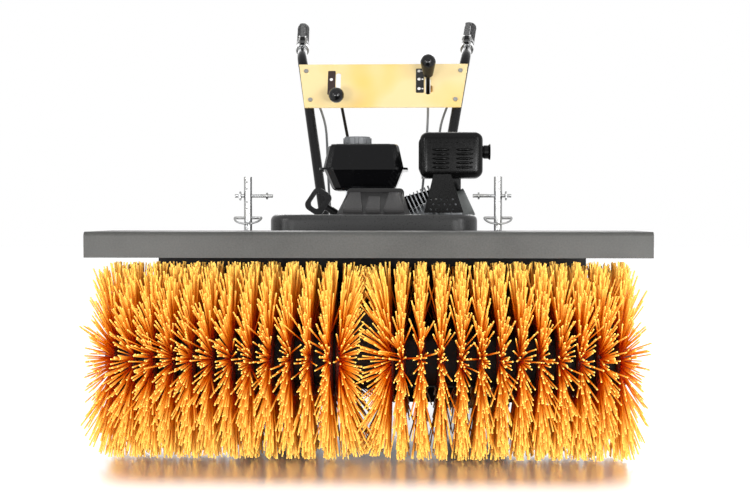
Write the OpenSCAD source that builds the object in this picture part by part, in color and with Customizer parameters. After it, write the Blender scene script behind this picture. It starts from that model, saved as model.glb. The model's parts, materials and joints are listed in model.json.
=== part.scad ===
// Walk-behind power brush sweeper: one wide brush under a hood, a small engine and a steered rear chassis.
// Millimetres. +Z up, the brush faces -Y, the handles reach towards +Y, the ground is z = 0.

/* [Brush head] */
// Width of the steel hood over the brush
hood_w = 1000; // [900:10:1100]
// Height of the hood's front flange
hood_h = 46; // [38:1:60]
// Sheet thickness of the hood
hood_t = 3; // [2:0.5:4]
// How far the hood's front face lies ahead of the brush axis
hood_front = 20; // [10:1:30]
// Diameter over the bristle tips
brush_d = 350; // [340:2:360]
// Height of the bristle tips over the ground
brush_gap = 2; // [1:0.5:5]
// Gap between the bristle tips and the hood's flange
hood_gap = 6; // [4:1:12]
// Gap between the bristle tips and the apron behind them
apron_gap = 10; // [6:1:14]
// Height of the apron's lower edge over the ground
apron_clear = 72; // [50:1:110]
// Distance between neighbouring bristle rings
ring_pitch = 34; // [32:1:40]
// Place of the innermost ring, which fills the middle
inner_ring_x = 44; // [44:0.5:46]
// Place of the first regular ring
first_ring_x = 63; // [62:1:70]
// Width of a bristle ring's rim
ring_w = 14; // [10:1:14]
// Outer radius of a bristle ring's rim
ring_r = 64; // [58:1:68]
// Strands on each ring
strands = 18; // [10:2:18]
// Width of a strand
strand_w = 2.4; // [1.6:0.2:3]
// Outer radius of the core tube that carries the rings
core_r = 48; // [42:1:52]
// Radius of the brush shaft
brush_shaft_r = 16; // [12:1:18]
// Module of the worm gear
gear_module = 4; // [3.6:0.2:4.2]
// Teeth of the worm wheel
wheel_teeth = 18; // [17:1:19]
// Pitch radius of the worm
worm_r = 19; // [18:0.5:20]
// Half width of the brush gearbox
gearbox_half = 36; // [32:0.5:36.5]

/* [Swivel and casters] */
// Distance of the swivel axis behind the brush axis
swivel_y = 390; // [380:1:410]
// Radius of the swivel pins
pivot_r = 8; // [6:0.5:10]
// Thickness of the swivel lugs
lug_t = 8; // [6:0.5:10]
// Distance of each support caster from the middle
caster_x = 250; // [235:1:270]
// Distance of the casters behind the brush axis
caster_y = 266; // [264:1:272]
// Radius of the caster wheels
caster_r = 50; // [40:1:55]
// How far a caster's wheel trails its post
caster_trail = 25; // [15:1:30]
// Radius of the support posts
post_r = 8; // [6:0.5:9]
// Height of the posts' tops over the ground
post_top = 510; // [490:1:540]

/* [Chassis] */
// Radius of the drive wheels
wheel_r = 165; // [150:1:170]
// Width of a drive tyre
tyre_w = 100; // [80:1:110]
// Distance from the middle to a drive wheel's middle plane
wheel_x = 190; // [185:1:230]
// Distance of the drive axle behind the brush axis
axle_y = 560; // [555:1:600]
// Radius of the drive axle
axle_r = 10; // [8:0.5:14]
// Height of the deck's underside
deck_z = 258; // [250:1:270]
// Thickness of the deck plate
deck_t = 5; // [4:0.5:8]
// Width of the belt guard
guard_w = 424; // [380:2:430]
// Corner radius of the belt guard
guard_r = 55; // [30:1:70]
// Height of the belt guard's walls
guard_h = 90; // [80:1:94]

/* [Engine] */
// Height of the crankshaft over the deck
crank_h = 106; // [104:0.5:110]
// Radius of the crankshaft's drive end
crank_r = 9.5; // [8:0.5:12]
// Cylinder's tilt over the horizontal, in degrees
cylinder_tilt = 25; // [20:1:30]
// Length of the fuel tank across the machine
tank_w = 198; // [180:1:210]
// Length of the fuel tank along the machine
tank_d = 176; // [150:1:190]
// Radius of the fuel cap
cap_r = 32; // [26:1:36]
// Width of the muffler guard
muffler_w = 150; // [130:1:156]

/* [Handles] */
// Height of the handles' bend over the deck
handle_rise = 586; // [560:2:610]
// How far the handles run back behind their bend
handle_reach = 299; // [260:1:330]
// How far the handles climb behind their bend
grip_rise = 124; // [100:1:150]
// Radius of the handle tubes
tube_r = 12.5; // [10:0.5:14]
// Radius of the rubber grips
grip_r = 17; // [15:0.5:19]
// Thickness of the control panel's sheet
panel_t = 3; // [2:0.5:4]
// Width of the control panel along its lower edge
panel_low_w = 400; // [370:2:410]
// Width of the control panel along its upper edge
panel_top_w = 440; // [430:1:460]
// Height of the control panel along its slope
panel_h = 132; // [124:1:140]
// Radius of the left lever's ball knob
ball_r = 19.5; // [15:0.5:22]

/* [Hidden] */
$fn = 48;
// Radial clearance of running fits, and the gap between faces that pass each other
fit = 0.05;
pass = 0.3;

// Brush
brush_r = brush_d / 2;
brush_z = brush_r + brush_gap;
hood_bottom = brush_z + brush_r + hood_gap;
hood_top = hood_bottom + hood_h;
hood_back = brush_r + apron_gap;
end_margin = 63;
regular_rings = 1 + floor((hood_w / 2 - first_ring_x - end_margin) / ring_pitch);
last_ring_x = first_ring_x + (regular_rings - 1) * ring_pitch;
core_in = gearbox_half + 1;
core_out = last_ring_x + ring_w;
core_wall = 3;
core_disc_t = 5;
shaft_end = core_out + 10;

// Worm gear: the wheel turns on the brush shaft, the worm lies across above it
gear_r = gear_module * wheel_teeth / 2;
input_z = brush_z + gear_r + worm_r;
worm_pitch = PI * gear_module;
worm_turns = 4;
tooth_clear = 1;
input_shaft_r = 9;
case_r = gear_r + gear_module + 12;
case_front = 50;
neck_r = 20;

// Belts and pulleys
belt_w = 10;
belt_t = 8;
belt_gap = 0.4;
flange_t = 4;
pulley_w = belt_w + 1 + 2 * flange_t;
flange_over = belt_t + 1;
engine_groove_r = 28;
input_groove_r = 50;
drive_groove_r = 42;
input_pulley_r = input_groove_r + flange_over;
engine_pulley_r = engine_groove_r + flange_over;
drive_pulley_r = drive_groove_r + flange_over;

// Swivel bracket: the head's two lugs lie between the chassis's two
lug_r = 24;
head_lug_top = input_z + input_pulley_r + 4 + lug_t;
head_lug_bottom = input_z - input_pulley_r - 4 - lug_t;
neck_plate_y = swivel_y - 60;
neck_plate_t = 8;
neck_plate_half = 48;
neck_plate_top = head_lug_top + 26;
beam_s = 40;
beam_wall = 3;
apron_t = 4;
beam_y = hood_back + apron_t;
beam_z = neck_plate_top - beam_s + 10;
beam_half = caster_x + 20;
sleeve_r = 13;
sleeve_bottom = beam_z - 10;
sleeve_top = beam_z + beam_s + 5;

// Chassis
axle_z = wheel_r;
deck_top = deck_z + deck_t;
deck_half = 128;
bulkhead_y = swivel_y + 60;
bulkhead_t = 6;
side_x = 87;
side_t = 6;
rear_y = 745;
drive_pulley_z = deck_z - drive_pulley_r + 11;
drive_pulley_y = bulkhead_y - pulley_w - 1;
case_low = axle_z - 70;
case_half = 70;
case_y0 = axle_y - 80;
case_y1 = axle_y + 80;

// Belt guard and ridged cover
guard_front = 275;
guard_back = bulkhead_y + bulkhead_t;
guard_top = deck_top + crank_h + 66;
guard_t = 3;
cover_low_w = 150;
cover_top_w = 120;
cover_h = 57;
pad_lift = 6;
cover_front = guard_front + 25;
cover_crest = cover_front + 125;

// Engine
engine_y = bulkhead_y + bulkhead_t + 4;
engine_x = 0;
crank_z = deck_top + crank_h;
case_len = 140;
blower_r = crank_h - 2;
blower_len = 50;
recoil_len = 66;
blower_y = engine_y + case_len;
recoil_y = blower_y + blower_len;
engine_end = recoil_y + recoil_len;
crankcase_r = 88;
cylinder_y = engine_y + 66;
cylinder_from = crankcase_r + 6;
head_from = cylinder_from + 72;
head_len = 32;
cover_from = head_from + head_len;
cover_len = 26;
fin_count = 9;
fin_t = 2.5;
fin_w = 92;
fin_d = 104;
fin_over = 24;
fin_corner = 12;
tank_x = -31;
tank_y = engine_y + 135;
tank_z = deck_top + 225;
seam_z = tank_z + 49;
tank_top = seam_z + 56;
tank_seam_t = 5;
filler_x = tank_x - 16;
filler_y = tank_y - 8;
neck_h = 8;
neck_wall = 2.5;
filler_deep = 30;
filler_r = 22;
muffler_x = 156;
muffler_y = engine_y - 4;
muffler_z = deck_top + 251;
muffler_h = 100;
muffler_depth = 92;
muffler_sheet = 2;
muffler_play = 9;

// Handles: foot on the deck, bend behind the panel's upper edge, end of the grip
handle_foot = [109, 700, deck_top];
handle_bend = [215, 1001, deck_top + handle_rise];
handle_end = [241, handle_bend.y + handle_reach, handle_bend.z + grip_rise];
panel_from_deck = 440;
panel_tilt = atan2(handle_bend.y - handle_foot.y, handle_bend.z - handle_foot.z);
panel_z = deck_top + panel_from_deck;
panel_y = handle_foot.y + panel_from_deck * tan(panel_tilt);
lever_r = 5;
lever_hub_r = 9;
lever_hub_w = 12;
lever_pin_r = 4;
lever_into = 12;
lever_pivot_y = 30;
ear_t = 4;
ear_r = 12;
gear_x = -116;
gear_s = 60;
gear_rest = -30;
gear_len = 105;
gear_tail = 40;
angle_x = 116;
angle_s = 62;
angle_rest = 18;
angle_len = 108;
slot_w = 2 * lever_r + 3;
gear_slot = [24, 106];
angle_slot = [38, 90];
rod_r = 4;
rod_guide = [-10, 760, deck_z];
rod_guide_s = 30;
clamp_at = 90;
clamp_w = 22;
lever_rise = 27;
grip_from = 150;
clutch_pin_r = 3;
clutch_len = 115;
clutch_tail = 34;
clutch_w = 12;
clutch_t = 6;
clutch_rest = 6;
grip_len = norm(handle_end - handle_bend);
foot_dir = (handle_bend - handle_foot) / norm(handle_bend - handle_foot);

// The model's middle along Y, so that its box is centred on the origin
handle_dir = (handle_end - handle_bend) / grip_len;
reach_back = handle_end.y + grip_r * sqrt(1 - handle_dir.y * handle_dir.y);
y_mid = (reach_back - brush_r) / 2;

// Shared shapes

// Moves what is drawn from the brush axis to the model's own origin
module place() { translate([0, -y_mid, 0]) children(); }

// A bar from one point to another
module bar(a, b, r) {
    d = b - a;
    translate(a) rotate([0, acos(d.z / norm(d)), atan2(d.y, d.x)]) cylinder(h = norm(d), r = r);
}

module along_x() { rotate([0, 90, 0]) children(); }
module along_y() { rotate([-90, 0, 0]) children(); }

// A rectangle with round corners, centred
module round_rect(w, d, r) {
    square([w - 2 * r, d], center = true);
    square([w, d - 2 * r], center = true);
    for (x = [-1, 1], y = [-1, 1]) translate([x * (w / 2 - r), y * (d / 2 - r)]) circle(r);
}

module round_plate(w, d, t, r) { linear_extrude(t) round_rect(w, d, r); }

// A ring's cross-section turned about Z
module washer(outer, inner, t) {
    difference() {
        cylinder(h = t, r = outer);
        translate([0, 0, -1]) cylinder(h = t + 2, r = inner);
    }
}

// A lug with a round end about the swivel axis, reaching back or forward to y1
module lug(y1, z) {
    translate([0, 0, z]) linear_extrude(lug_t) difference() {
        union() {
            translate([0, swivel_y]) circle(lug_r);
            translate([-lug_r, min(swivel_y, y1)]) square([2 * lug_r, abs(y1 - swivel_y)]);
        }
        translate([0, swivel_y]) circle(pivot_r + fit);
    }
}

// Grooved pulley about Y, its front face at y = 0
module pulley(groove_r, bore_r) {
    rotate([90, 0, 0]) mirror([0, 0, 1]) rotate_extrude() polygon([
        [bore_r, 0], [groove_r + flange_over, 0], [groove_r + flange_over, flange_t],
        [groove_r, flange_t], [groove_r, pulley_w - flange_t],
        [groove_r + flange_over, pulley_w - flange_t], [groove_r + flange_over, pulley_w], [bore_r, pulley_w]
    ]);
}

// Outline of a belt run between two pulleys, the first at the origin and the second at height -drop
module belt_outline(r1, r2, drop) {
    hull() {
        circle(r1);
        translate([0, -drop]) circle(r2);
    }
}

// V-belt round the engine pulley and a lower pulley, standing in the XZ plane at y
module v_belt(y, r2, low_z) {
    drop = crank_z - low_z;
    inner1 = engine_groove_r + belt_gap;
    inner2 = r2 + belt_gap;
    translate([engine_x, y + belt_w / 2, crank_z]) rotate([90, 0, 0]) linear_extrude(belt_w) difference() {
        belt_outline(inner1 + belt_t, inner2 + belt_t, drop);
        belt_outline(inner1, inner2, drop);
    }
}

// Hexagon bolt head standing on z = 0, with its shank below
module bolt(r, head_h, shank) {
    cylinder(h = head_h, r = r * 2, $fn = 6);
    if (shank > 0) translate([0, 0, -shank]) cylinder(h = shank + 0.01, r = r);
}

// Round tube swept along points, closed at both ends
function unit(v) = v / norm(v);
function tangent(p, i) = unit(p[min(i + 1, len(p) - 1)] - p[max(i - 1, 0)]);
function ring_at(p, i, r, n) =
    let (t = tangent(p, i), a = unit(cross(t, [1, 0, 0])), b = cross(t, a))
    [for (k = [0 : n - 1]) p[i] + r * (a * cos(360 * k / n) + b * sin(360 * k / n))];
function smooth_route(p, steps) = [
    for (i = [0 : len(p) - 2], s = [0 : steps - 1])
        let (a = p[max(i - 1, 0)], b = p[i], c = p[i + 1], d = p[min(i + 2, len(p) - 1)], t = s / steps)
        b + 0.5 * t * (c - a + t * (2 * a - 5 * b + 4 * c - d + t * (3 * b - a - 3 * c + d))),
    p[len(p) - 1]
];
module swept_tube(route, r, n) {
    last = len(route) - 1;
    points = [for (i = [0 : last]) each ring_at(route, i, r, n)];
    sides = [for (i = [0 : last - 1], k = [0 : n - 1]) each
        let (a = i * n + k, b = i * n + (k + 1) % n) [[a, b, b + n], [a, b + n, a + n]]];
    polyhedron(points, concat(sides,
        [[for (k = [n - 1 : -1 : 0]) k]], [[for (k = [0 : n - 1]) last * n + k]]));
}

// Brush: rings of strands on a core tube

function ring_x(k) = k == 0 ? inner_ring_x : first_ring_x + (k - 1) * ring_pitch;
// Strands of the end rings lean away from their neighbours, so that the middle and the ends are filled
inner_lean = -7;
second_lean = -2;
outer_lean = 14;
next_lean = 7;
fan_lean = 4;
inner_fan = 2.5;
function ring_lean(k) =
    k == 0 ? inner_lean : k == 1 ? second_lean : k == regular_rings ? outer_lean :
    k == regular_rings - 1 ? next_lean : 0;
function ring_fan(k) = k == 0 ? inner_fan : fan_lean;
strand_root = 5;
ring_turn = 7;

module bristle_ring(k) {
    translate([ring_x(k), 0, 0]) {
        along_x() translate([0, 0, -ring_w / 2]) washer(ring_r, core_r + fit, ring_w);
        for (i = [0 : strands - 1]) {
            lean = ring_lean(k) + (i % 2 == 0 ? 1 : -1) * ring_fan(k);
            length = (brush_r - ring_r + strand_root) / cos(lean);
            rotate([ring_turn * k + 360 * i / strands, 0, 0]) translate([0, 0, ring_r - strand_root])
                rotate([0, lean, 0]) rotate([0, 0, 45]) cylinder(h = length, r = strand_w / sqrt(2), $fn = 4);
        }
    }
}
module bristle_side() {
    translate([0, 0, brush_z]) for (k = [0 : regular_rings]) bristle_ring(k);
}
module bristles_right() color("#f39a1c") place() bristle_side();
module bristles_left() color("#f39a1c") place() mirror([1, 0, 0]) bristle_side();

module core_tube() {
    difference() {
        translate([0, 0, core_in]) cylinder(h = core_out - core_in, r = core_r);
        translate([0, 0, core_in + core_disc_t])
            cylinder(h = core_out - core_in - 2 * core_disc_t, r = core_r - core_wall);
        for (a = [45 : 90 : 315]) rotate([0, 0, a])
            translate([(core_r + brush_shaft_r) / 2, 0, 0]) cylinder(h = core_out + 1, r = 7);
    }
}
module brush_shaft() color("#2b2b2c") place() translate([0, 0, brush_z]) {
    along_x() cylinder(h = 2 * shaft_end, r = brush_shaft_r, center = true);
    for (side = [0, 1]) mirror([side, 0, 0]) along_x() {
        core_tube();
        translate([0, 0, core_out]) cylinder(h = 12, r = brush_shaft_r + 6, $fn = 6);
    }
}

function gear_outline(n, root, tip, root_half, tip_half) = [
    for (i = [0 : n - 1], p = [[-root_half, root], [-tip_half, tip], [tip_half, tip], [root_half, root]])
        let (a = 360 * (i + 0.5) / n + p[0]) [p[1] * cos(a), p[1] * sin(a)]
];
module worm_wheel() color("#b08a45") place() translate([0, 0, brush_z]) along_x() {
    root = gear_r - gear_module - tooth_clear;
    tip = gear_r + gear_module;
    translate([0, 0, -8]) linear_extrude(16) difference() {
        polygon(gear_outline(wheel_teeth, root, tip, 90 / wheel_teeth * 0.96, 90 / wheel_teeth * 0.46));
        circle(brush_shaft_r + fit);
    }
}

// Worm: a lobed outline turned along the shaft, so that its crest runs as a right-hand screw
module worm_thread() {
    crest = worm_r + gear_module;
    root = worm_r - gear_module - tooth_clear;
    bore = input_shaft_r + 0.5;
    lobe = [for (a = [-38 : 19 : 38]) crest * [cos(90 + a), sin(90 + a)]];
    body = [for (a = [70 : 22 : 290]) root * [cos(90 + a), sin(90 + a)]];
    hole = [for (a = [0 : 30 : 330]) bore * [cos(a), sin(a)]];
    outline = concat(lobe, body);
    linear_extrude(worm_turns * worm_pitch, center = true, twist = -360 * worm_turns, slices = 9 * worm_turns,
        segments = 4) polygon(concat(outline, hole), [[for (i = [0 : len(outline) - 1]) i],
            [for (i = [0 : len(hole) - 1]) len(outline) + i]]);
}
input_front = case_front - 6;
input_back = swivel_y + pulley_w / 2 + 8;
module worm_shaft() color("#8d9093") place() translate([0, 0, input_z]) {
    along_y() worm_thread();
    translate([0, -input_front, 0]) along_y() cylinder(h = input_front + input_back, r = input_shaft_r);
}
module input_pulley() color("#3a3b3d") place()
    translate([0, swivel_y - pulley_w / 2, input_z]) pulley(input_groove_r, input_shaft_r + fit);

module gearbox_case() color("#202022") place() {
    cavity_r = gear_r + gear_module + 4;
    worm_room = worm_r + gear_module + 3;
    worm_half = worm_turns * worm_pitch / 2 + 6;
    difference() {
        union() {
            translate([0, 0, brush_z]) along_x() cylinder(h = 2 * gearbox_half, r = case_r, center = true);
            translate([-gearbox_half + 4, -case_front, brush_z])
                cube([2 * gearbox_half - 8, 2 * case_front, input_z - brush_z + worm_room + 7]);
            translate([0, 0, input_z]) along_y() cylinder(h = neck_plate_y, r = neck_r);
        }
        translate([0, 0, brush_z]) along_x() {
            cylinder(h = 3 * gearbox_half, r = brush_shaft_r + fit, center = true);
            cylinder(h = 40, r = cavity_r, center = true);
        }
        translate([0, -worm_half, input_z]) along_y() cylinder(h = 2 * worm_half, r = worm_room);
        translate([0, -input_front - 2, input_z]) along_y() cylinder(h = 120, r = input_shaft_r + fit);
        translate([0, 60, input_z]) along_y() cylinder(h = neck_plate_y, r = input_shaft_r + 3);
    }
}

// Head: hood, apron and the frame that carries them

module hood() color("#5b5d60") place() {
    half = hood_w / 2;
    translate([-half, -hood_front, hood_top - hood_t]) cube([hood_w, hood_front + hood_back, hood_t]);
    translate([-half, -hood_front, hood_bottom]) cube([hood_w, hood_t, hood_h]);
    translate([-half, hood_back - hood_t, hood_bottom]) cube([hood_w, hood_t, hood_h]);
}

apron_half = 413;
module apron() color("#161616") place() difference() {
    translate([-apron_half, hood_back, apron_clear])
        cube([2 * apron_half, apron_t, hood_bottom + 22 - apron_clear]);
    translate([-neck_r - 6, hood_back - 1, apron_clear - 1])
        cube([2 * neck_r + 12, apron_t + 2, input_z + neck_r + 10 - apron_clear]);
}

hood_arm_x = 120;
collector_r = 6.5;
module hood_frame() color("#1d1d1f") place() {
    rail_w = 8;
    difference() {
        union() {
            difference() {
                translate([-beam_half, beam_y, beam_z]) cube([2 * beam_half, beam_s, beam_s]);
                translate([-beam_half + 6, beam_y + beam_wall, beam_z + beam_wall])
                    cube([2 * beam_half - 12, beam_s - 2 * beam_wall, beam_s - 2 * beam_wall]);
                translate([-beam_half - 1, beam_y + beam_s / 2, beam_z + beam_s / 2])
                    along_x() cylinder(h = 2 * beam_half + 2, r = collector_r);
            }
            for (side = [-1, 1]) {
                translate([side * caster_x, caster_y, sleeve_bottom])
                    cylinder(h = sleeve_top - sleeve_bottom, r = sleeve_r);
                translate([side * caster_x - 10, beam_y + beam_s - 1, beam_z])
                    cube([20, caster_y - beam_y - beam_s + 1, beam_s]);
                translate([side * (neck_plate_half - rail_w / 2) - rail_w / 2, beam_y + beam_s - 1, beam_z])
                    cube([rail_w, neck_plate_y - beam_y - beam_s + 2, beam_s - 10]);
                translate([side * hood_arm_x - 3, hood_back + apron_t, beam_z + beam_s - 1])
                    cube([6, beam_s, hood_bottom + 22 - beam_z - beam_s]);
            }
            translate([-neck_plate_half, neck_plate_y, head_lug_bottom])
                cube([2 * neck_plate_half, neck_plate_t, neck_plate_top - head_lug_bottom]);
            lug(neck_plate_y + 1, head_lug_top - lug_t);
            lug(neck_plate_y + 1, head_lug_bottom);
        }
        for (side = [-1, 1]) translate([side * caster_x, caster_y, sleeve_bottom - 1])
            cylinder(h = sleeve_top - sleeve_bottom + 2, r = post_r + fit);
        translate([0, neck_plate_y - 1, input_z]) along_y()
            cylinder(h = neck_plate_t + 2, r = input_shaft_r + fit);
    }
}

// Support casters: post, fork and wheel, drawn for the right side

crown_t = 8;
crown_z = 2 * caster_r + 6;
spigot_r = 6;
fork_gap = 18;
fork_t = 5;
caster_axle_r = 5;
caster_w = 30;
cross_pin_z = 472;
lynch_z = 428;
lynch_ring_r = 27;
module caster_post() {
    translate([caster_x, caster_y, 0]) {
        difference() {
            union() {
                translate([0, 0, crown_z + crown_t + pass]) cylinder(h = 6, r = spigot_r + 8);
                translate([0, 0, crown_z + crown_t + pass])
                    cylinder(h = post_top - crown_z - crown_t - pass, r = post_r);
            }
            for (z = [cross_pin_z - 25 : 13 : post_top - 8]) if (abs(z - cross_pin_z) > 8)
                translate([0, 0, z]) rotate([90, 0, 0]) cylinder(h = 3 * post_r, r = 2.5, center = true);
        }
        translate([0, 0, crown_z - 4]) cylinder(h = crown_t + 10, r = spigot_r);
        translate([0, 0, crown_z - 4]) cylinder(h = 4 - pass, r = spigot_r + 4);
        translate([-50, 0, cross_pin_z]) along_x() {
            cylinder(h = 76, r = 3.5);
            translate([0, 0, 10]) cylinder(h = 3, r = 7);
            translate([0, 0, 64]) cylinder(h = 3, r = 9, $fn = 6);
        }
        translate([0, 0, lynch_z]) {
            along_x() cylinder(h = 2 * lynch_ring_r, r = 3, center = true);
            rotate([25, 0, 0]) rotate([0, 0, 180]) rotate_extrude(angle = 180)
                translate([lynch_ring_r, 0]) circle(2);
        }
    }
}
module caster_fork() {
    translate([caster_x, caster_y, 0]) {
        difference() {
            translate([0, 0, crown_z]) linear_extrude(crown_t) union() {
                circle(spigot_r + 14);
                translate([-fork_gap - fork_t, -spigot_r - 6])
                    square([2 * (fork_gap + fork_t), caster_trail + 2 * spigot_r + 12]);
            }
            translate([0, 0, crown_z - 1]) cylinder(h = crown_t + 2, r = spigot_r + fit);
        }
        for (side = [-1, 1])
            translate([side * (fork_gap + fork_t / 2) - fork_t / 2, caster_trail - 14, caster_r - 14])
                cube([fork_t, 28, crown_z - caster_r + 15]);
        translate([0, caster_trail, caster_r]) along_x()
            cylinder(h = 2 * (fork_gap + fork_t) + 6, r = caster_axle_r, center = true);
    }
}
module caster_wheel() {
    translate([caster_x, caster_y + caster_trail, caster_r]) along_x() {
        rotate_extrude() union() {
            translate([(caster_r + 28) / 2, 0]) round_rect(caster_r - 28, caster_w, 8);
            translate([15, -5]) square([16, 10]);
            translate([caster_axle_r + fit, -caster_w / 2]) square([17 - caster_axle_r, caster_w]);
        }
    }
}
module caster_post_right() color("#c9c9c6") place() caster_post();
module caster_post_left() color("#c9c9c6") place() mirror([1, 0, 0]) caster_post();
module caster_fork_right() color("#b9bbbd") place() caster_fork();
module caster_fork_left() color("#b9bbbd") place() mirror([1, 0, 0]) caster_fork();
module caster_wheel_right() color("#232323") place() caster_wheel();
module caster_wheel_left() color("#232323") place() mirror([1, 0, 0]) caster_wheel();

// Chassis: deck, side plates, pivot bracket, transmission

engine_base = [-104, 92];
bolt_edge = [14, 18];
engine_bolts = [for (x = [engine_base[0] + bolt_edge.x, engine_base[1] - bolt_edge.x],
    y = [engine_y + bolt_edge.y, engine_y + case_len - bolt_edge.y]) [x, y]];
engine_bolt_r = 4;
engine_foot_t = 12;

// Frame that follows a handle tube from its foot: Z along the tube
module on_tube(side, from, to) {
    a = [side * from.x, from.y, from.z];
    d = [side * to.x, to.y, to.z] - a;
    translate(a) rotate([0, acos(d.z / norm(d)), atan2(d.y, d.x)]) children();
}

// Socket block on the deck that holds a handle tube's foot, with the tube's square end seated in it
socket_h = 40;
socket_wall = 5.5;
socket_front = 22;
socket_back = rear_y - 2 - handle_foot.y;
tube_seat = (tube_r * sqrt(1 - pow(foot_dir.z, 2)) + 1) / foot_dir.z;
module handle_socket(side) {
    w = 2 * (tube_r + socket_wall);
    difference() {
        translate([side * handle_foot.x - w / 2, handle_foot.y - socket_front, deck_top - 1])
            cube([w, socket_front + socket_back, socket_h + 1]);
        on_tube(side, handle_foot, handle_bend) translate([0, 0, tube_seat - fit]) rotate(50)
            cylinder(h = 3 * socket_h, r = tube_r + fit);
    }
}
module deck_plate() color("#1c1c1e") place() difference() {
    union() {
        translate([-deck_half, bulkhead_y + bulkhead_t, deck_z])
            cube([2 * deck_half, rear_y - bulkhead_y - bulkhead_t, deck_t]);
        translate([rod_guide.x - rod_guide_s / 2, rear_y - 1, deck_z - 8])
            cube([rod_guide_s, rod_guide_s + 1, deck_t + 8]);
        for (side = [-1, 1]) handle_socket(side);
        for (p = cable_ends) translate([p.x - 6, p.y - 5, deck_top - 1]) cube([12, 10, cable_stop_h + 1]);
    }
    for (p = engine_bolts) translate([p.x, p.y, deck_z - 1])
        cylinder(h = deck_t + 2, r = engine_bolt_r + pass);
    bar(rod_at(-60), rod_at(rod_length + 60), rod_r + fit);
}

module side_plates() color("#1c1c1e") place() for (side = [0, 1]) mirror([side, 0, 0])
    translate([side_x, 0, 0]) rotate([90, 0, 90]) linear_extrude(side_t) difference() {
        polygon([
            [bulkhead_y, deck_z], [bulkhead_y, head_lug_bottom - lug_t - pass], [case_y0, axle_z - 65],
            [case_y1, axle_z - 65], [rear_y - 5, deck_z - 60], [rear_y - 5, deck_z]
        ]);
        translate([axle_y, axle_z]) circle(axle_r + fit);
    }

upright_w = 17;
module pivot_bracket() color("#1c1c1e") place() {
    low = head_lug_bottom - lug_t - pass;
    high = head_lug_top + pass;
    difference() {
        union() {
            translate([-side_x, bulkhead_y, low]) cube([2 * side_x, bulkhead_t, deck_z - low]);
            for (x = [-side_x, side_x - upright_w]) translate([x, bulkhead_y, deck_z - 1])
                cube([upright_w, bulkhead_t, guard_top - guard_t - deck_z + 1]);
            translate([-lug_r, bulkhead_y, deck_z - 1])
                cube([2 * lug_r, bulkhead_t, high + lug_t - deck_z + 1]);
            lug(bulkhead_y + 1, low);
            lug(bulkhead_y + 1, high);
        }
        translate([0, bulkhead_y - 1, drive_pulley_z]) along_y()
            cylinder(h = bulkhead_t + 2, r = drive_shaft_r + fit);
    }
}

drive_shaft_r = 8;
module transmission_case() color("#4a4c4f") place() difference() {
    union() {
        translate([-case_half, case_y0, case_low])
            cube([2 * case_half, case_y1 - case_y0, deck_z - case_low]);
        translate([0, axle_y, axle_z]) along_x() cylinder(h = 2 * side_x - 1, r = 34, center = true);
    }
    translate([0, axle_y, axle_z]) along_x() cylinder(h = 3 * side_x, r = axle_r + fit, center = true);
    translate([0, case_y0 - 1, drive_pulley_z]) along_y() cylinder(h = 31, r = drive_shaft_r + fit);
}
module transmission_pulley() color("#3a3b3d") place() translate([0, drive_pulley_y, drive_pulley_z]) {
    pulley(drive_groove_r, drive_shaft_r);
    along_y() cylinder(h = case_y0 + 28 - drive_pulley_y, r = drive_shaft_r);
}

// Drive wheels

hub_from = side_x + side_t + 4;
axle_half = wheel_x + tyre_w / 2 - 2;
rim_r = 82;
module drive_axle() color("#9a9c9e") place() translate([0, axle_y, axle_z])
    along_x() cylinder(h = 2 * axle_half, r = axle_r, center = true);
module drive_rims() color("#d9d9d6") place() for (side = [0, 1]) mirror([side, 0, 0])
    translate([0, axle_y, axle_z]) along_x() rotate_extrude() union() {
        translate([axle_r + fit, hub_from]) square([14, axle_half - hub_from]);
        translate([axle_r + 10, wheel_x - 4]) square([rim_r - axle_r - 12, 8]);
        translate([rim_r - 7, wheel_x - tyre_w / 2 + 8]) square([7, tyre_w - 16]);
    }
lug_count = 18;
lug_h = 7;
lug_across = 13;
lug_slant = 24;
module tyre() {
    carcass_r = wheel_r - lug_h;
    along_x() rotate_extrude() translate([(carcass_r + rim_r + fit) / 2, 0])
        round_rect(carcass_r - rim_r - fit, tyre_w, 24);
    for (i = [0 : lug_count - 1], half = [-1, 1])
        rotate([360 / lug_count * (i + 0.25 + 0.25 * half), 0, 0])
            translate([half * tyre_w * 0.21, 0, wheel_r - 2 * lug_h]) rotate([0, 0, half * lug_slant])
                translate([-tyre_w * 0.2, -lug_across / 2, 0]) cube([tyre_w * 0.4, lug_across, 2 * lug_h]);
}
module drive_tyres() color("#1b1b1b") place() for (side = [-1, 1])
    translate([side * wheel_x, axle_y, axle_z]) tyre();

// Belt guard, ridged cover and belts

module belt_guard() color("#2a2b2d") place() {
    depth = guard_back - guard_front;
    translate([0, guard_front + depth / 2, guard_top - guard_h]) difference() {
        round_plate(guard_w, depth, guard_h, guard_r);
        translate([0, 0, -1]) round_plate(guard_w - 2 * guard_t, depth - 2 * guard_t, guard_h - guard_t + 1,
            guard_r - guard_t);
        translate([-side_x - 1, depth / 2 - bulkhead_t - guard_t, -1])
            cube([2 * side_x + 2, bulkhead_t + guard_t + 1, guard_h - guard_t + 1]);
    }
}

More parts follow.
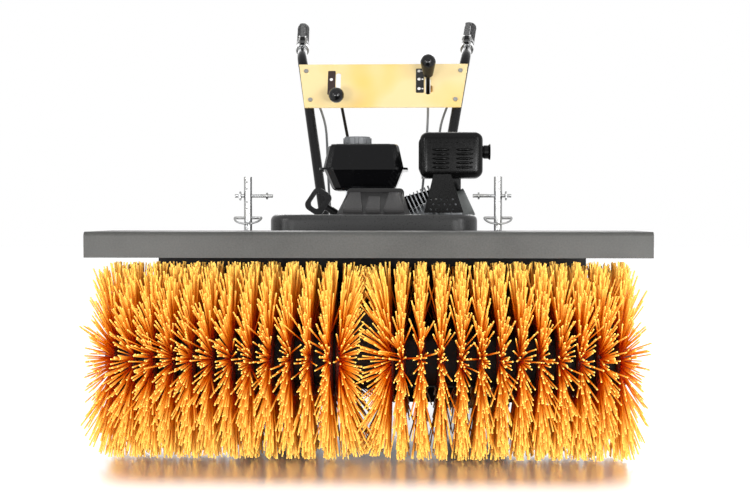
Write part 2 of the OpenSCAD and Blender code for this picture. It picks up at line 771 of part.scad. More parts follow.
// Wedge between the cover's front edge and its crest, raised by lift, between two lateral limits
module cover_wedge(lift, back) {
    rotate([90, 0, 90]) translate([0, 0, -cover_low_w / 2]) linear_extrude(cover_low_w) polygon([
        [cover_front, guard_top], [cover_front, guard_top + lift],
        [cover_crest, guard_top + cover_h + lift - pad_lift], [back, guard_top + cover_h + lift - pad_lift],
        [back, guard_top]
    ]);
}
module cover_plan(x0, x1) {
    crest_share = cover_top_w / cover_low_w;
    linear_extrude(guard_top + 2 * cover_h) polygon([
        [x0, cover_front - 1], [x1, cover_front - 1], [x1 * crest_share, cover_crest],
        [x1 * crest_share, guard_back], [x0 * crest_share, guard_back], [x0, cover_front]
    ]);
}
module ridged_cover() color("#333436") place() {
    half = cover_low_w / 2;
    crest_share = cover_top_w / cover_low_w;
    intersection() {
        cover_wedge(1, guard_back);
        cover_plan(-half, half);
    }
    for (side = [-1, 1]) intersection() {
        cover_wedge(pad_lift, guard_back);
        linear_extrude(guard_top + 2 * cover_h) polygon([
            [side * half * 0.96, cover_front], [side * half * 0.42, cover_front],
            [side * half * 0.3, cover_crest], [side * half * crest_share * 0.96, cover_crest]
        ]);
    }
    intersection() {
        cover_wedge(4, guard_back);
        linear_extrude(guard_top + 2 * cover_h) polygon([
            [-half * 0.32, cover_front], [half * 0.32, cover_front],
            [half * 0.2, cover_crest - 20], [-half * 0.2, cover_crest - 20]
        ]);
    }
}

brush_groove_y = swivel_y;
drive_groove_y = drive_pulley_y + pulley_w / 2;
module brush_belt() color("#161616") place() v_belt(brush_groove_y, input_groove_r, input_z);
module drive_belt() color("#161616") place() v_belt(drive_groove_y, drive_groove_r, drive_pulley_z);

// Engine

// Frame along the cylinder: Z from the crankshaft towards the cylinder head
module along_cylinder() {
    translate([engine_x, cylinder_y, crank_z]) rotate([0, 90 - cylinder_tilt, 0]) children();
}
crank_bore_r = 14;
module crankcase() color("#8f9194") place() difference() {
    union() {
        translate([engine_x, engine_y, crank_z]) along_y() cylinder(h = case_len, r = crankcase_r);
        translate([engine_base[0], engine_y, deck_top])
            cube([engine_base[1] - engine_base[0], case_len, engine_foot_t]);
        translate([engine_base[0] + 26, engine_y, deck_top])
            cube([engine_base[1] - engine_base[0] - 40, case_len, crank_h - 30]);
        along_cylinder() translate([-44, -50, 30]) cube([88, 100, cylinder_from - 30]);
        translate([tank_x - 40, tank_y - 60, crank_z + 40])
            cube([60, 44, tank_z - crank_z - 40]);
    }
    translate([engine_x, engine_y - 1, crank_z]) along_y() cylinder(h = case_len + 2, r = crank_bore_r + fit);
    for (p = engine_bolts) translate([p.x, p.y, deck_top - 1])
        cylinder(h = engine_foot_t + 2, r = engine_bolt_r + pass);
    for (p = engine_bolts) translate([p.x, p.y, deck_top + engine_foot_t])
        cylinder(h = 30, r = 2 * engine_bolt_r + 2);
}
module cylinder_block() color("#a7a9ab") place() along_cylinder() {
    pitch = (head_from - cylinder_from - fin_t) / (fin_count - 1);
    translate([0, 0, cylinder_from]) cylinder(h = head_from - cylinder_from, r = 39);
    for (i = [0 : fin_count - 1]) {
        over = i < fin_count - 1 ? fin_over : 0;
        translate([-over / 2, 0, cylinder_from + i * pitch]) round_plate(fin_w + over, fin_d, fin_t, fin_corner);
    }
}
module head_block() {
    along_cylinder() {
        translate([0, 0, head_from]) round_plate(fin_w - 8, fin_d - 12, head_len, 10);
        for (i = [0 : 3])
            translate([0, 0, head_from + 4 + i * 7]) round_plate(fin_w, fin_d, fin_t, fin_corner);
    }
}
plug_r = 10;
cover_w = 64;
module cylinder_head() color("#9d9fa2") place() head_block();
module valve_cover() color("#8b8d90") place() along_cylinder() translate([0, 0, cover_from]) {
    round_plate(78, 88, 6, 12);
    translate([0, 0, 5]) round_plate(cover_w, 74, cover_len - 5, 14);
}
module spark_plug() color("#1a1a1a") place() along_cylinder()
    translate([fin_w / 2, 0, head_from + head_len / 2]) along_x() {
        cylinder(h = 10, r = plug_r, $fn = 6);
        translate([0, 0, 9]) cylinder(h = 18, r = 7);
        translate([0, 0, 26]) cylinder(h = 26, r = 9);
    }

module fuel_tank() color("#161617") place() translate([tank_x, tank_y, 0]) difference() {
    union() {
        hull() {
            translate([0, 0, tank_z]) round_plate(tank_w - 44, tank_d - 40, 1, 26, $fn = 32);
            translate([0, 0, tank_z + 18]) round_plate(tank_w - 16, tank_d - 12, 1, 30, $fn = 32);
            translate([0, 0, seam_z - 1]) round_plate(tank_w - 12, tank_d - 8, 1, 30, $fn = 32);
        }
        translate([0, 0, seam_z - tank_seam_t / 2]) round_plate(tank_w, tank_d, tank_seam_t, 34);
        hull() {
            translate([0, 0, seam_z]) round_plate(tank_w - 14, tank_d - 10, 1, 30, $fn = 32);
            translate([0, 0, tank_top - 18]) round_plate(tank_w - 26, tank_d - 22, 1, 30, $fn = 32);
            translate([0, 0, tank_top - 5]) round_plate(tank_w - 40, tank_d - 36, 1, 28, $fn = 32);
            translate([0, 0, tank_top - 1]) round_plate(tank_w - 54, tank_d - 50, 1, 24, $fn = 32);
        }
        translate([filler_x - tank_x, filler_y - tank_y, tank_top - 1])
            cylinder(h = neck_h + 1, r = filler_r);
    }
    translate([filler_x - tank_x, filler_y - tank_y, tank_top - filler_deep])
        cylinder(h = 2 * filler_deep, r = filler_r - neck_wall);
}
cap_h = 18;
cap_ribs = 10;
module fuel_cap() color("#5d5e60") place() translate([filler_x, filler_y, tank_top + pass]) difference() {
    union() {
        cylinder(h = cap_h, r = cap_r - 3);
        for (a = [0 : 360 / cap_ribs : 359])
            rotate([0, 0, a]) translate([cap_r - 8, -5, 0]) cube([8, 10, cap_h - 3]);
    }
    translate([0, 0, -1]) cylinder(h = neck_h + 1.5, r = filler_r + fit);
}

outlet_r = 13;
outlet_y = 40;
outlet_share = 0.6;
outlet_len = 18;
exhaust_r = 16;
exhaust_x = (head_from + head_len / 2) * cos(cylinder_tilt) - fin_w / 2 * sin(cylinder_tilt);
module muffler() color("#1a1a1b") place() {
    low = muffler_z + muffler_play;
    inner = [muffler_w - 2 * (muffler_sheet + muffler_play), muffler_depth - muffler_play - muffler_sheet,
        muffler_h - 2 * muffler_play];
    difference() {
        union() {
            translate([muffler_x, muffler_y + muffler_sheet + muffler_play, low]) rotate([-90, 0, 0])
                translate([0, -inner.z / 2, 0]) round_plate(inner.x, inner.z, inner.y, 16);
            for (x = [-0.42, 0.42], z = [0.25, 0.75])
                translate([muffler_x + x * inner.x, muffler_y + muffler_sheet, low + inner.z * z])
                    along_y() cylinder(h = muffler_play + 1, r = 4);
            translate([muffler_x + inner.x / 2 - 1, muffler_y + outlet_y, low + inner.z * outlet_share])
                along_x() cylinder(h = muffler_sheet + muffler_play + outlet_len, r = outlet_r);
            difference() {
                translate([exhaust_x, cylinder_y, crank_z + crankcase_r])
                    cylinder(h = low - crank_z - crankcase_r + 6, r = exhaust_r);
                along_cylinder() translate([-fin_w / 2, -fin_d, 0])
                    cube([2 * fin_w, 2 * fin_d, 2 * cover_from]);
            }
        }
        translate([muffler_x - inner.x / 2 + 3, muffler_y + muffler_sheet + muffler_play + 3, low + 3])
            cube([inner.x - 6, inner.y - 6, inner.z - 6]);
        translate([muffler_x, muffler_y + outlet_y, low + inner.z * outlet_share]) along_x()
            cylinder(h = muffler_w, r = outlet_r - 3);
    }
}
louvre_rows = 5;
guard_depth = 64;
guard_bend = 22;
// Block on the ground plane, with its two upper edges along Y rounded
module guard_shell(width, height, depth, bend) {
    translate([0, depth, 0]) rotate([90, 0, 0]) linear_extrude(depth) {
        translate([0, height / 2]) round_rect(width, height, bend);
        translate([-width / 2, 0]) square([width, height - 2 * bend]);
    }
}
module muffler_guard() color("#1f1f20") place() {
    difference() {
        translate([muffler_x, muffler_y, muffler_z]) guard_shell(muffler_w, muffler_h, guard_depth, guard_bend);
        translate([muffler_x, muffler_y + muffler_sheet, muffler_z - 1])
            guard_shell(muffler_w - 2 * muffler_sheet, muffler_h - muffler_sheet + 1, guard_depth,
                guard_bend - muffler_sheet);
        for (x = [-0.14, 0.23], row = [0 : louvre_rows - 1])
            translate([muffler_x + x * muffler_w, muffler_y - 1, muffler_z + 12 + row * 9.5])
                rotate([-90, 0, 0]) linear_extrude(muffler_sheet + 2) round_rect(38, 4, 1.9);
        translate([muffler_x + muffler_w / 2 - muffler_sheet - 1, muffler_y + outlet_y,
            muffler_z + muffler_play + (muffler_h - 2 * muffler_play) * outlet_share])
            along_x() cylinder(h = muffler_sheet + 2, r = outlet_r + 0.5);
    }
}
shield_low = 75;
module heat_shield() color("#141414") place() {
    translate([0, muffler_y + muffler_sheet + 2, 0]) rotate([90, 0, 0]) linear_extrude(2) difference() {
        polygon([
            [104, muffler_z - shield_low], [189, muffler_z - shield_low],
            [162, muffler_z + 8], [124, muffler_z + 8]
        ]);
        for (row = [0 : 2], i = [0 : 4])
            translate([118 + i * 12 + (row % 2) * 6, muffler_z - shield_low + 7 + row * 11]) circle(2.2);
    }
}
air_x = 164;
air_gap = 3;
port_h = 72;
module carburettor() color("#8e9093") place() {
    port_y = cylinder_y + fin_d / 2;
    translate([air_x - air_elbow.x / 2, port_y, crank_z + port_h])
        cube([air_elbow.x, air_front + air_gap - port_y, 44]);
    translate([air_x, port_y + 30, crank_z + port_h - 26]) cylinder(h = 28, r = 19);
}
air_box = [130, 92, 96];
air_elbow = [52, 60];
air_lift = 80;
air_front = cylinder_y + fin_d / 2 + 60;
module air_cleaner() color("#1b1b1c") place() {
    translate([air_x - air_elbow.x / 2, air_front + air_gap, crank_z + port_h])
        cube([air_elbow.x, air_elbow.y, air_lift + 1]);
    translate([air_x, air_front + air_gap + air_box.y / 2, crank_z + port_h + air_lift]) {
        round_plate(air_box.x, air_box.y, air_box.z - 24, 18);
        translate([0, 0, air_box.z - 24]) round_plate(air_box.x + 6, air_box.y + 6, 20, 20);
        translate([0, 0, air_box.z - 4]) cylinder(h = 10, r = 11, $fn = 6);
    }
}
hose_r = 5;
hose_bend = 16;
hose_rise = 4;
module breather_hose() color("#141414") place() {
    along = cover_from + cover_len - 8;
    side = cover_w / 2;
    start = [engine_x + along * cos(cylinder_tilt) - side * sin(cylinder_tilt), cylinder_y + 20,
        crank_z + along * sin(cylinder_tilt) + side * cos(cylinder_tilt)];
    end_y = air_front + air_gap - pass - start.y - hose_bend;
    translate(start) rotate([0, -cylinder_tilt, 0]) {
        cylinder(h = hose_rise, r = hose_r);
        translate([0, hose_bend, hose_rise]) rotate([0, -90, 0]) rotate([0, 0, -90])
            rotate_extrude(angle = 90) translate([hose_bend, 0]) circle(hose_r);
        translate([0, hose_bend, hose_rise + hose_bend]) along_y() cylinder(h = end_y, r = hose_r);
    }
}
module blower_housing() color("#1d1d1e") place() translate([engine_x, blower_y, crank_z]) difference() {
    along_y() cylinder(h = blower_len, r = blower_r);
    translate([0, -1, 0]) along_y() cylinder(h = blower_len + 2, r = blower_r - 4);
}
starter_dir = [-0.83, 0, 0.558];
starter_y = recoil_y + 30;
rope_r = 3;
boss_from = 80;
boss_to = 138;
module recoil_cover() color("#1d1d1e") place() difference() {
    union() {
        translate([engine_x, recoil_y, crank_z]) along_y() cylinder(h = 20, r = blower_r);
        translate([engine_x, recoil_y + 19, crank_z]) along_y()
            cylinder(h = recoil_len - 19, r = blower_r - 14);
        bar([engine_x, starter_y, crank_z] + boss_from * starter_dir,
            [engine_x, starter_y, crank_z] + boss_to * starter_dir, 9);
    }
    translate([engine_x, recoil_y - 1, crank_z]) along_y() cylinder(h = recoil_len - 5, r = blower_r - 30);
    bar([engine_x, starter_y, crank_z], [engine_x, starter_y, crank_z] + 200 * starter_dir, rope_r + fit);
    for (a = [0 : 30 : 359]) translate([engine_x, engine_end + 1, crank_z]) rotate([90, a, 0])
        translate([40, 0, 0]) linear_extrude(20) round_rect(26, 7, 3.4);
}
module flywheel() color("#77797c") place() translate([engine_x, blower_y + 6, crank_z]) {
    along_y() washer(blower_r - 12, crank_bore_r + fit, 16);
    for (a = [0 : 30 : 359]) rotate([0, a, 0]) translate([50, 15, -2]) cube([38, 18, 4]);
}
module crankshaft() color("#9a9c9e") place() translate([engine_x, 0, crank_z]) {
    front = swivel_y - pulley_w / 2 - 8;
    translate([0, front, 0]) along_y() cylinder(h = engine_y + 5 - front, r = crank_r);
    translate([0, engine_y + 4, 0]) along_y() cylinder(h = case_len + blower_len - 8, r = crank_bore_r);
}
module engine_pulley() color("#3a3b3d") place() {
    translate([engine_x, brush_groove_y - pulley_w / 2, crank_z]) pulley(engine_groove_r, crank_r + fit);
    translate([engine_x, brush_groove_y + pulley_w / 2 - 1, crank_z]) along_y()
        washer(18, crank_r + fit, drive_groove_y - brush_groove_y - pulley_w + 2);
    translate([engine_x, drive_groove_y - pulley_w / 2, crank_z]) pulley(engine_groove_r, crank_r + fit);
}
grip_gap = 36;
module starter_grip() color("#121212") place() translate([engine_x, starter_y, crank_z])
    rotate([0, -atan2(-starter_dir.x, starter_dir.z), 0]) {
        translate([0, 0, boss_from - 40]) cylinder(h = 80, r = rope_r);
        translate([0, 0, boss_to + pass]) cylinder(h = 14, r = 8);
        translate([0, 8, boss_to + pass + 36]) rotate([90, 0, 0]) linear_extrude(16) difference() {
            round_rect(60, 48, 15);
            translate([0, 2]) round_rect(grip_gap, 24, 9);
        }
    }

// Handles and controls

// Tube of the right handle: straight up from the deck, round a bend, then straight back through the grip.
// The bend is a little thicker than the tube and laps over its two straight runs.
bend_angle = acos(foot_dir * handle_dir);
bend_r = 70;
bend_t = bend_r * tan(bend_angle / 2);
bend_in = unit(handle_dir - (handle_dir * foot_dir) * foot_dir);
bend_over = 0.4;
bend_lap = 3;
plug_t = 6;
module handle_tube() {
    bend_start = handle_bend - bend_t * foot_dir;
    centre = bend_start + bend_r * bend_in;
    axis = cross(-bend_in, foot_dir);
    bar(handle_foot + tube_seat * foot_dir, bend_start + bend_lap * foot_dir, tube_r);
    multmatrix([for (i = [0 : 2]) [-bend_in[i], foot_dir[i], axis[i], centre[i]]])
        rotate_extrude(angle = bend_angle) translate([bend_r, 0]) circle(tube_r + bend_over);
    bar(handle_bend + (bend_t - bend_lap) * handle_dir, handle_end - plug_t * handle_dir, tube_r);
}
module handle_tube_left() color("#1b1b1c") place() mirror([1, 0, 0]) handle_tube();
module handle_tube_right() color("#1b1b1c") place() handle_tube();

module handle_grips() color("#111111") place() for (side = [-1, 1])
    on_tube(side, handle_bend, handle_end) difference() {
        union() {
            translate([0, 0, grip_from]) cylinder(h = grip_len - grip_from, r = grip_r - 1);
            translate([0, 0, grip_from]) cylinder(h = 8, r = grip_r);
            translate([0, 0, grip_len - 12]) cylinder(h = 12, r = grip_r);
        }
        cylinder(h = grip_len - plug_t + fit, r = tube_r + fit);
    }

// Frame of the control panel: X across, Z up its slope, Y through it, with the tubes' axes at Y = 0
module in_panel() { translate([0, panel_y, panel_z]) rotate([-panel_tilt, 0, 0]) children(); }
function panel_point(p) = [
    p.x, panel_y + p.y * cos(panel_tilt) + p.z * sin(panel_tilt),
    panel_z - p.y * sin(panel_tilt) + p.z * cos(panel_tilt)
];
module lever_slot(x, ends) {
    translate([x, (ends[0] + ends[1]) / 2]) round_rect(slot_w, ends[1] - ends[0], slot_w / 2 - 0.1);
}
module lever_ears(x, s) {
    for (side = [-1, 1]) translate([x + side * (lever_hub_w / 2 + pass + ear_t / 2), 0, s])
        rotate([90, 0, 90]) translate([0, 0, -ear_t / 2]) linear_extrude(ear_t) union() {
            translate([-tube_r - 1, -ear_r]) square([lever_pivot_y + tube_r + 1, 2 * ear_r]);
            translate([lever_pivot_y, 0]) circle(ear_r);
        }
    translate([x, lever_pivot_y, s]) along_x()
        cylinder(h = lever_hub_w + 2 * (pass + ear_t) + 4, r = lever_pin_r, center = true);
}
panel_fold = 14;
panel_fold_w = 300;
panel_bolt_r = 3;
module control_panel() color("#f0c53a") place() in_panel() {
    translate([0, -tube_r - fit, 0]) rotate([90, 0, 0]) linear_extrude(panel_t) difference() {
        polygon([
            [-panel_low_w / 2, 0], [panel_low_w / 2, 0],
            [panel_top_w / 2, panel_h], [-panel_top_w / 2, panel_h]
        ]);
        lever_slot(gear_x, gear_slot);
        lever_slot(angle_x, angle_slot);
        for (p = panel_bolts) translate([p.x, p.y]) circle(panel_bolt_r + pass);
    }
    translate([-panel_fold_w / 2, -tube_r - 0.5, panel_h - panel_t]) cube([panel_fold_w, panel_fold, panel_t]);
    lever_ears(gear_x, gear_s);
    lever_ears(angle_x, angle_s);
    translate([angle_x - lever_hub_w / 2 - ear_t, -tube_r - 0.5, stop_s - stop_t])
        cube([lever_hub_w + 2 * ear_t, lever_pivot_y + tube_r + 9, stop_t]);
}

// Lever in the panel's frame: hub on its pin, bar forward through the slot, tail behind
module panel_lever(x, s, angle, length, tail) {
    translate([x, lever_pivot_y, s]) rotate([-angle, 0, 0]) difference() {
        union() {
            along_x() cylinder(h = lever_hub_w, r = lever_hub_r, center = true);
            rotate([90, 0, 0]) cylinder(h = length - lever_into, r = lever_r);
            if (tail > 0) along_y() cylinder(h = tail, r = rod_r);
            if (tail > 0) translate([0, tail, 0]) sphere(rod_r + 0.5);
        }
        along_x() cylinder(h = lever_hub_w + 2, r = lever_pin_r + fit, center = true);
    }
}
module gear_lever() color("#2a2a2b") place() in_panel()
    panel_lever(gear_x, gear_s, gear_rest, gear_len, gear_tail);
module angle_lever() color("#2a2a2b") place() in_panel()
    panel_lever(angle_x, angle_s, angle_rest, angle_len, 0);
module gear_knob() color("#0f0f10") place() in_panel()
    translate([gear_x, lever_pivot_y, gear_s]) rotate([-gear_rest, 0, 0]) translate([0, -gear_len, 0])
        rotate([90, 0, 0]) difference() {
            sphere(ball_r);
            translate([0, 0, -ball_r - 1]) cylinder(h = ball_r - lever_into + 1, r = lever_r + fit);
        }
pear_len = 52;
module angle_knob() color("#0f0f10") place() in_panel()
    translate([angle_x, lever_pivot_y, angle_s]) rotate([-angle_rest, 0, 0]) translate([0, -angle_len, 0])
        rotate([90, 0, 0]) difference() {
            union() {
                translate([0, 0, 4]) sphere(ball_r);
                translate([0, 0, ball_r + 10 - pear_len])
                    cylinder(h = pear_len - ball_r - 12, r1 = ball_r / 2, r2 = ball_r * 0.97);
            }
            translate([0, 0, -pear_len]) cylinder(h = pear_len - lever_into, r = lever_r + fit);
        }

// Shift rod: from below the gear lever's tail to its guide at the deck's rear edge
rod_top = panel_point(
    [gear_x, lever_pivot_y + gear_tail * cos(gear_rest), gear_s - gear_tail * sin(gear_rest)]);
rod_dir = unit(rod_guide - rod_top);
rod_length = norm(rod_guide - rod_top) + 45;
rod_gap = rod_r + 3.8;
function rod_at(t) = rod_top + t * rod_dir;
module shift_rod() color("#161616") place() bar(rod_at(rod_gap), rod_at(rod_length), rod_r);

// Cables: from a stop at each control to a stop on the deck's rear edge
cable_r = 3;
// Point under the right grip's tube, at a distance from the bend, where a cable lies along it
function clamp_point(t, drop = 0) =
    let (down = unit(cross(handle_dir, cross([0, 0, -1], handle_dir))))
    handle_bend + t * handle_dir + (tube_r + cable_r + pass + drop) * down;
cable_stop_h = 14;
cable_gap = 0.2;
cable_ends = [[80, 738], [62, 738], [-80, 738]];
cable_foot = deck_top + cable_stop_h + cable_gap;
stop_s = angle_slot[0];
stop_t = 4;
angle_cable = [
    panel_point([angle_x, lever_pivot_y, stop_s - stop_t - cable_gap]),
    panel_point([angle_x, lever_pivot_y, stop_s - stop_t - 30]),
    [113, 930, 632], [107, 890, 555], [98, 840, 470], [80, 780, 380], [65, 745, 315],
    [62, 738, cable_foot + 20], [62, 738, cable_foot]
];
right_cable = [
    clamp_point(clamp_at - clamp_w / 2 - cable_gap), clamp_point(62, 2), clamp_point(44, 9),
    [200, 1008, 790], [176, 985, 738], [158, 965, 695], [146, 940, 645], [138, 890, 540], [124, 820, 420],
    [96, 763, 335], [80, 738, cable_foot + 20], [80, 738, cable_foot]
];
left_cable = [for (p = right_cable) [-p.x, p.y, p.z]];
module control_cables() color("#6e7073") place() for (route = [angle_cable, right_cable, left_cable])
    swept_tube(smooth_route(route, 3), cable_r, 8);

// Clutch lever over a grip: X of the frame points down, Z along the grip
module clutch_lever(side) {
    on_tube(side, handle_bend, handle_end) translate([-lever_rise, 0, clamp_at]) rotate([0, -clutch_rest, 0])
        difference() {
            union() {
                rotate([90, 0, 0]) cylinder(h = clutch_w, r = clutch_pin_r + 5, center = true);
                translate([-clutch_t / 2, -clutch_w / 2, -clutch_tail])
                    cube([clutch_t, clutch_w, clutch_tail + clutch_len]);
                translate([0, 0, clutch_len]) rotate([0, 90, 0]) cylinder(h = clutch_t, r = 9, center = true);
            }
            rotate([90, 0, 0]) cylinder(h = clutch_w + 2, r = clutch_pin_r + fit, center = true);
        }
}
module clutch_lever_left() color("#161616") place() clutch_lever(-1);
module clutch_lever_right() color("#161616") place() clutch_lever(1);

// Bolts, swivel pins and lever clamps
bolt_inset = 6;
panel_bolts = [for (side = [-1, 1], s = [22, panel_h - 22])
    [side * (handle_foot.x - bolt_inset + (handle_bend.x - handle_foot.x) *
        (panel_from_deck + s * cos(panel_tilt)) / (handle_bend.z - handle_foot.z)), s]];
module lever_clamp() {
    difference() {
        union() {
            translate([0, 0, clamp_at - clamp_w / 2]) cylinder(h = clamp_w, r = tube_r + 5);
            for (y = [-1, 1])
                translate([-lever_rise - 8, y * (clutch_w / 2 + pass + ear_t / 2) - ear_t / 2, clamp_at - 8])
                    cube([lever_rise - tube_r + 6, ear_t, 16]);
            translate([-lever_rise, 0, clamp_at]) rotate([90, 0, 0])
                cylinder(h = clutch_w + 2 * (pass + ear_t) + 6, r = clutch_pin_r, center = true);
        }
        cylinder(h = grip_len, r = tube_r + fit);
    }
}
module fasteners() color("#c4c5c4") place() {
    for (p = engine_bolts) translate([p.x, p.y, deck_top + engine_foot_t])
        bolt(engine_bolt_r, 6, engine_foot_t + deck_t);
    in_panel() for (p = panel_bolts) translate([p.x, -tube_r - fit - panel_t, p.y]) rotate([90, 0, 0])
        bolt(panel_bolt_r, 4, panel_t);
    for (side = [-1, 1]) on_tube(side, handle_bend, handle_end) lever_clamp();
    translate([0, swivel_y, head_lug_top + lug_t + pass]) {
        cylinder(h = 5, r = pivot_r + 5, $fn = 6);
        translate([0, 0, -2 * lug_t - pass]) cylinder(h = 2 * lug_t + pass + 1, r = pivot_r);
    }
    translate([0, swivel_y, head_lug_bottom - lug_t - pass]) {
        translate([0, 0, -5]) cylinder(h = 5, r = pivot_r + 5, $fn = 6);
        translate([0, 0, -1]) cylinder(h = 2 * lug_t + pass + 1, r = pivot_r);
    }
}

deck_plate();
side_plates();
pivot_bracket();
transmission_case();
handle_tube_left();
handle_tube_right();
control_panel();
handle_grips();
control_cables();
belt_guard();
ridged_cover();
crankcase();
cylinder_block();
cylinder_head();
valve_cover();
spark_plug();
fuel_tank();
muffler();
muffler_guard();
heat_shield();
carburettor();
air_cleaner();
breather_hose();
blower_housing();
recoil_cover();
fasteners();
brush_belt();
drive_belt();
crankshaft();
engine_pulley();
flywheel();
fuel_cap();
starter_grip();
gear_lever();
gear_knob();
shift_rod();
angle_lever();
angle_knob();
clutch_lever_left();
clutch_lever_right();
hood();
hood_frame();
apron();
gearbox_case();
worm_shaft();
input_pulley();
brush_shaft();
worm_wheel();
bristles_left();
bristles_right();
caster_post_left();
caster_post_right();
caster_fork_left();
caster_fork_right();
caster_wheel_left();
caster_wheel_right();
drive_axle();
drive_rims();
drive_tyres();
transmission_pulley();
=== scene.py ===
"""Power brush sweeper: finishes, bristles and fuller forms round its construction model."""

import json
import math
import random

import bmesh
import bpy
from mathutils import Matrix, Vector


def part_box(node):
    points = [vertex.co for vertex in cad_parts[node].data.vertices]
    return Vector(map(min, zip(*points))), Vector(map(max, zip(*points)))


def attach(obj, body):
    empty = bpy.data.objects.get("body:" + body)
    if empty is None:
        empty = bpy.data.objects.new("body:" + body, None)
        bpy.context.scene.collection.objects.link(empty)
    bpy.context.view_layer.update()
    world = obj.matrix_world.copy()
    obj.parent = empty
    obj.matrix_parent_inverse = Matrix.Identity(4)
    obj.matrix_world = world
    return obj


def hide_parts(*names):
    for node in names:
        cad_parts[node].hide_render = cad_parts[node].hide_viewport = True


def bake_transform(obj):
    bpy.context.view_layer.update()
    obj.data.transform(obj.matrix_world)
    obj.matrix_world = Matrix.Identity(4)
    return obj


bl_info = {
    "name": "Power brush sweeper",
    "version": (1, 0, 0),
    "blender": (4, 5, 0),
    "location": "View3D > Sidebar > Sweeper",
    "description": "Dresses a walk-behind brush sweeper with finishes, bristles and controls",
    "category": "Object",
}

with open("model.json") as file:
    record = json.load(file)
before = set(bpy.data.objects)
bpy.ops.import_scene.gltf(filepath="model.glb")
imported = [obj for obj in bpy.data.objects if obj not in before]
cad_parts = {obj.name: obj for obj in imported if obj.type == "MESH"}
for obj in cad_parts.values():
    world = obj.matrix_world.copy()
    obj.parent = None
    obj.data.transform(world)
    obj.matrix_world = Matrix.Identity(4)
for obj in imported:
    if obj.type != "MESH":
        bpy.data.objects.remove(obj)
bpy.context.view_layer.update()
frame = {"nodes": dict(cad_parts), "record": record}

MM = 0.001
# Metres within which two corners are one, and within which a corner lies on a face
WELD = 0.001 * MM
NEAR = 0.00001
# Cosine above which two directions count as the same
ALIGNED = 0.99
SHAFT_LOW, SHAFT_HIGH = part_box("brush_shaft")
AXIS = (SHAFT_LOW + SHAFT_HIGH) / 2
SMOOTH_ANGLE = math.radians(34)
HOME = Matrix.Translation((0, AXIS.y, 0))


def at(x, y, z):
    """A point from millimetres: across, back from the brush axis, and up from the ground."""
    return Vector((x * MM, AXIS.y + y * MM, z * MM))


def box_of(node):
    """A node's two corners in millimetres: across, back from the brush axis, and up from the ground."""
    return [HOME.inverted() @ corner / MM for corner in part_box(node)]


def linear(hex_colour):
    """The linear colour of an sRGB hex value."""
    channels = [int(hex_colour[i:i + 2], 16) / 255 for i in (1, 3, 5)]
    return [c / 12.92 if c <= 0.04045 else ((c + 0.055) / 1.055) ** 2.4 for c in channels] + [1.0]


def colour(label, hint, hex_colour):
    """A colour property whose default is an sRGB hex value."""
    return bpy.props.FloatVectorProperty(
        name=label, description=hint, subtype="COLOR", size=4, min=0, max=1, default=linear(hex_colour))


def length(label, hint, millimetres):
    """A length property whose default is in millimetres."""
    return bpy.props.FloatProperty(name=label, description=hint, unit="LENGTH", default=millimetres * MM)


def angle(label, hint, degrees):
    """An angle property whose default is in degrees."""
    return bpy.props.FloatProperty(
        name=label, description=hint, subtype="ANGLE", default=math.radians(degrees))


def count(label, hint, number):
    """A whole number property."""
    return bpy.props.IntProperty(name=label, description=hint, default=number, min=1)


# Sizes and colours a user would change


class SweeperBrush(bpy.types.PropertyGroup):
    """Rings of strands on the brush core"""

    inner_ring: length("Inner ring", "Distance of the ring beside the gearbox from the middle", 44)
    first_ring: length("First ring", "Distance of the first evenly spaced ring from the middle", 63)
    ring_pitch: length("Ring pitch", "Distance between evenly spaced rings", 34)
    rings: count("Rings", "Evenly spaced rings on each side", 12)
    rim_radius: length("Rim radius", "Outer radius of a ring's rim", 64)
    rim_width: length("Rim width", "Width of a ring's rim", 14)
    core_radius: length("Core radius", "Radius of the tube that carries the rings", 48)
    tip_radius: length("Tip radius", "Radius over the strands' tips", 175)
    ragged: length("Ragged ends", "How much shorter than the longest a strand may be", 14)
    strand_width: length("Strand width", "Width of one strand", 1.9)
    strands: count("Strands", "Strands round a ring", 460)
    fan: angle("Fan", "How far most strands lean to either side beside the gearbox", 2.5)
    outer_fan: angle("Outer fan", "How far most strands lean to either side at the ends of the brush", 5)
    stray: angle("Stray", "How far a stray strand leans to either side", 7)
    stray_share: bpy.props.FloatProperty(
        name="Stray share", description="Share of the strands that stray", subtype="FACTOR", default=0.13)
    inner_lean: angle("Inner lean", "How far the inner ring's strands lean in over the gearbox", 24)
    outer_lean: angle("Outer lean", "Lean of the outer ring past the end of the core", 4)
    next_lean: angle("Next lean", "Lean of the last ring but one", 2)


class SweeperColours(bpy.types.PropertyGroup):
    """Colours of the painted and moulded pieces"""

    hood: colour("Hood", "Textured powder coat of the hood", "#434341")
    frame: colour("Frame", "Stove enamel of the frame and tubes", "#0E0E0F")
    guard: colour("Belt guard", "Satin powder coat of the belt guard", "#303030")
    cover: colour("Ridged cover", "Grained plastic of the ridged cover", "#302F2F")
    panel: colour("Panel", "Powder coat of the control panel", "#F0D8A0")
    panel_deep: colour("Panel shade", "Where the panel's coat is thickest", "#EFC86A")
    # Painted light: the pale tip colour stands partly for the light on the strands' outer ends
    strand_tip_and_painted_light: colour("Strand tip", "Cut tips of the strands", "#FFD366")
    strand: colour("Strand", "Middle of the strands", "#FFA20E")
    # Painted shade: the deep red root colour stands for the shade deep inside the rings
    strand_root_painted_shade: colour("Strand root", "Strands near their rim", "#F05604")
    tank: colour("Tank", "Gloss enamel of the fuel tank", "#060607")
    knob: colour("Knob", "Polished knobs", "#0B0B0C")
    gear_plate: colour("Gear plate", "Lacquer of the plate beside the gear lever", "#240A06")
    angle_plate: colour("Angle plate", "Lacquer of the plate beside the angle lever", "#0A0909")
    mark: colour("Mark", "Dots and ticks on the control plates", "#F4F1EE")


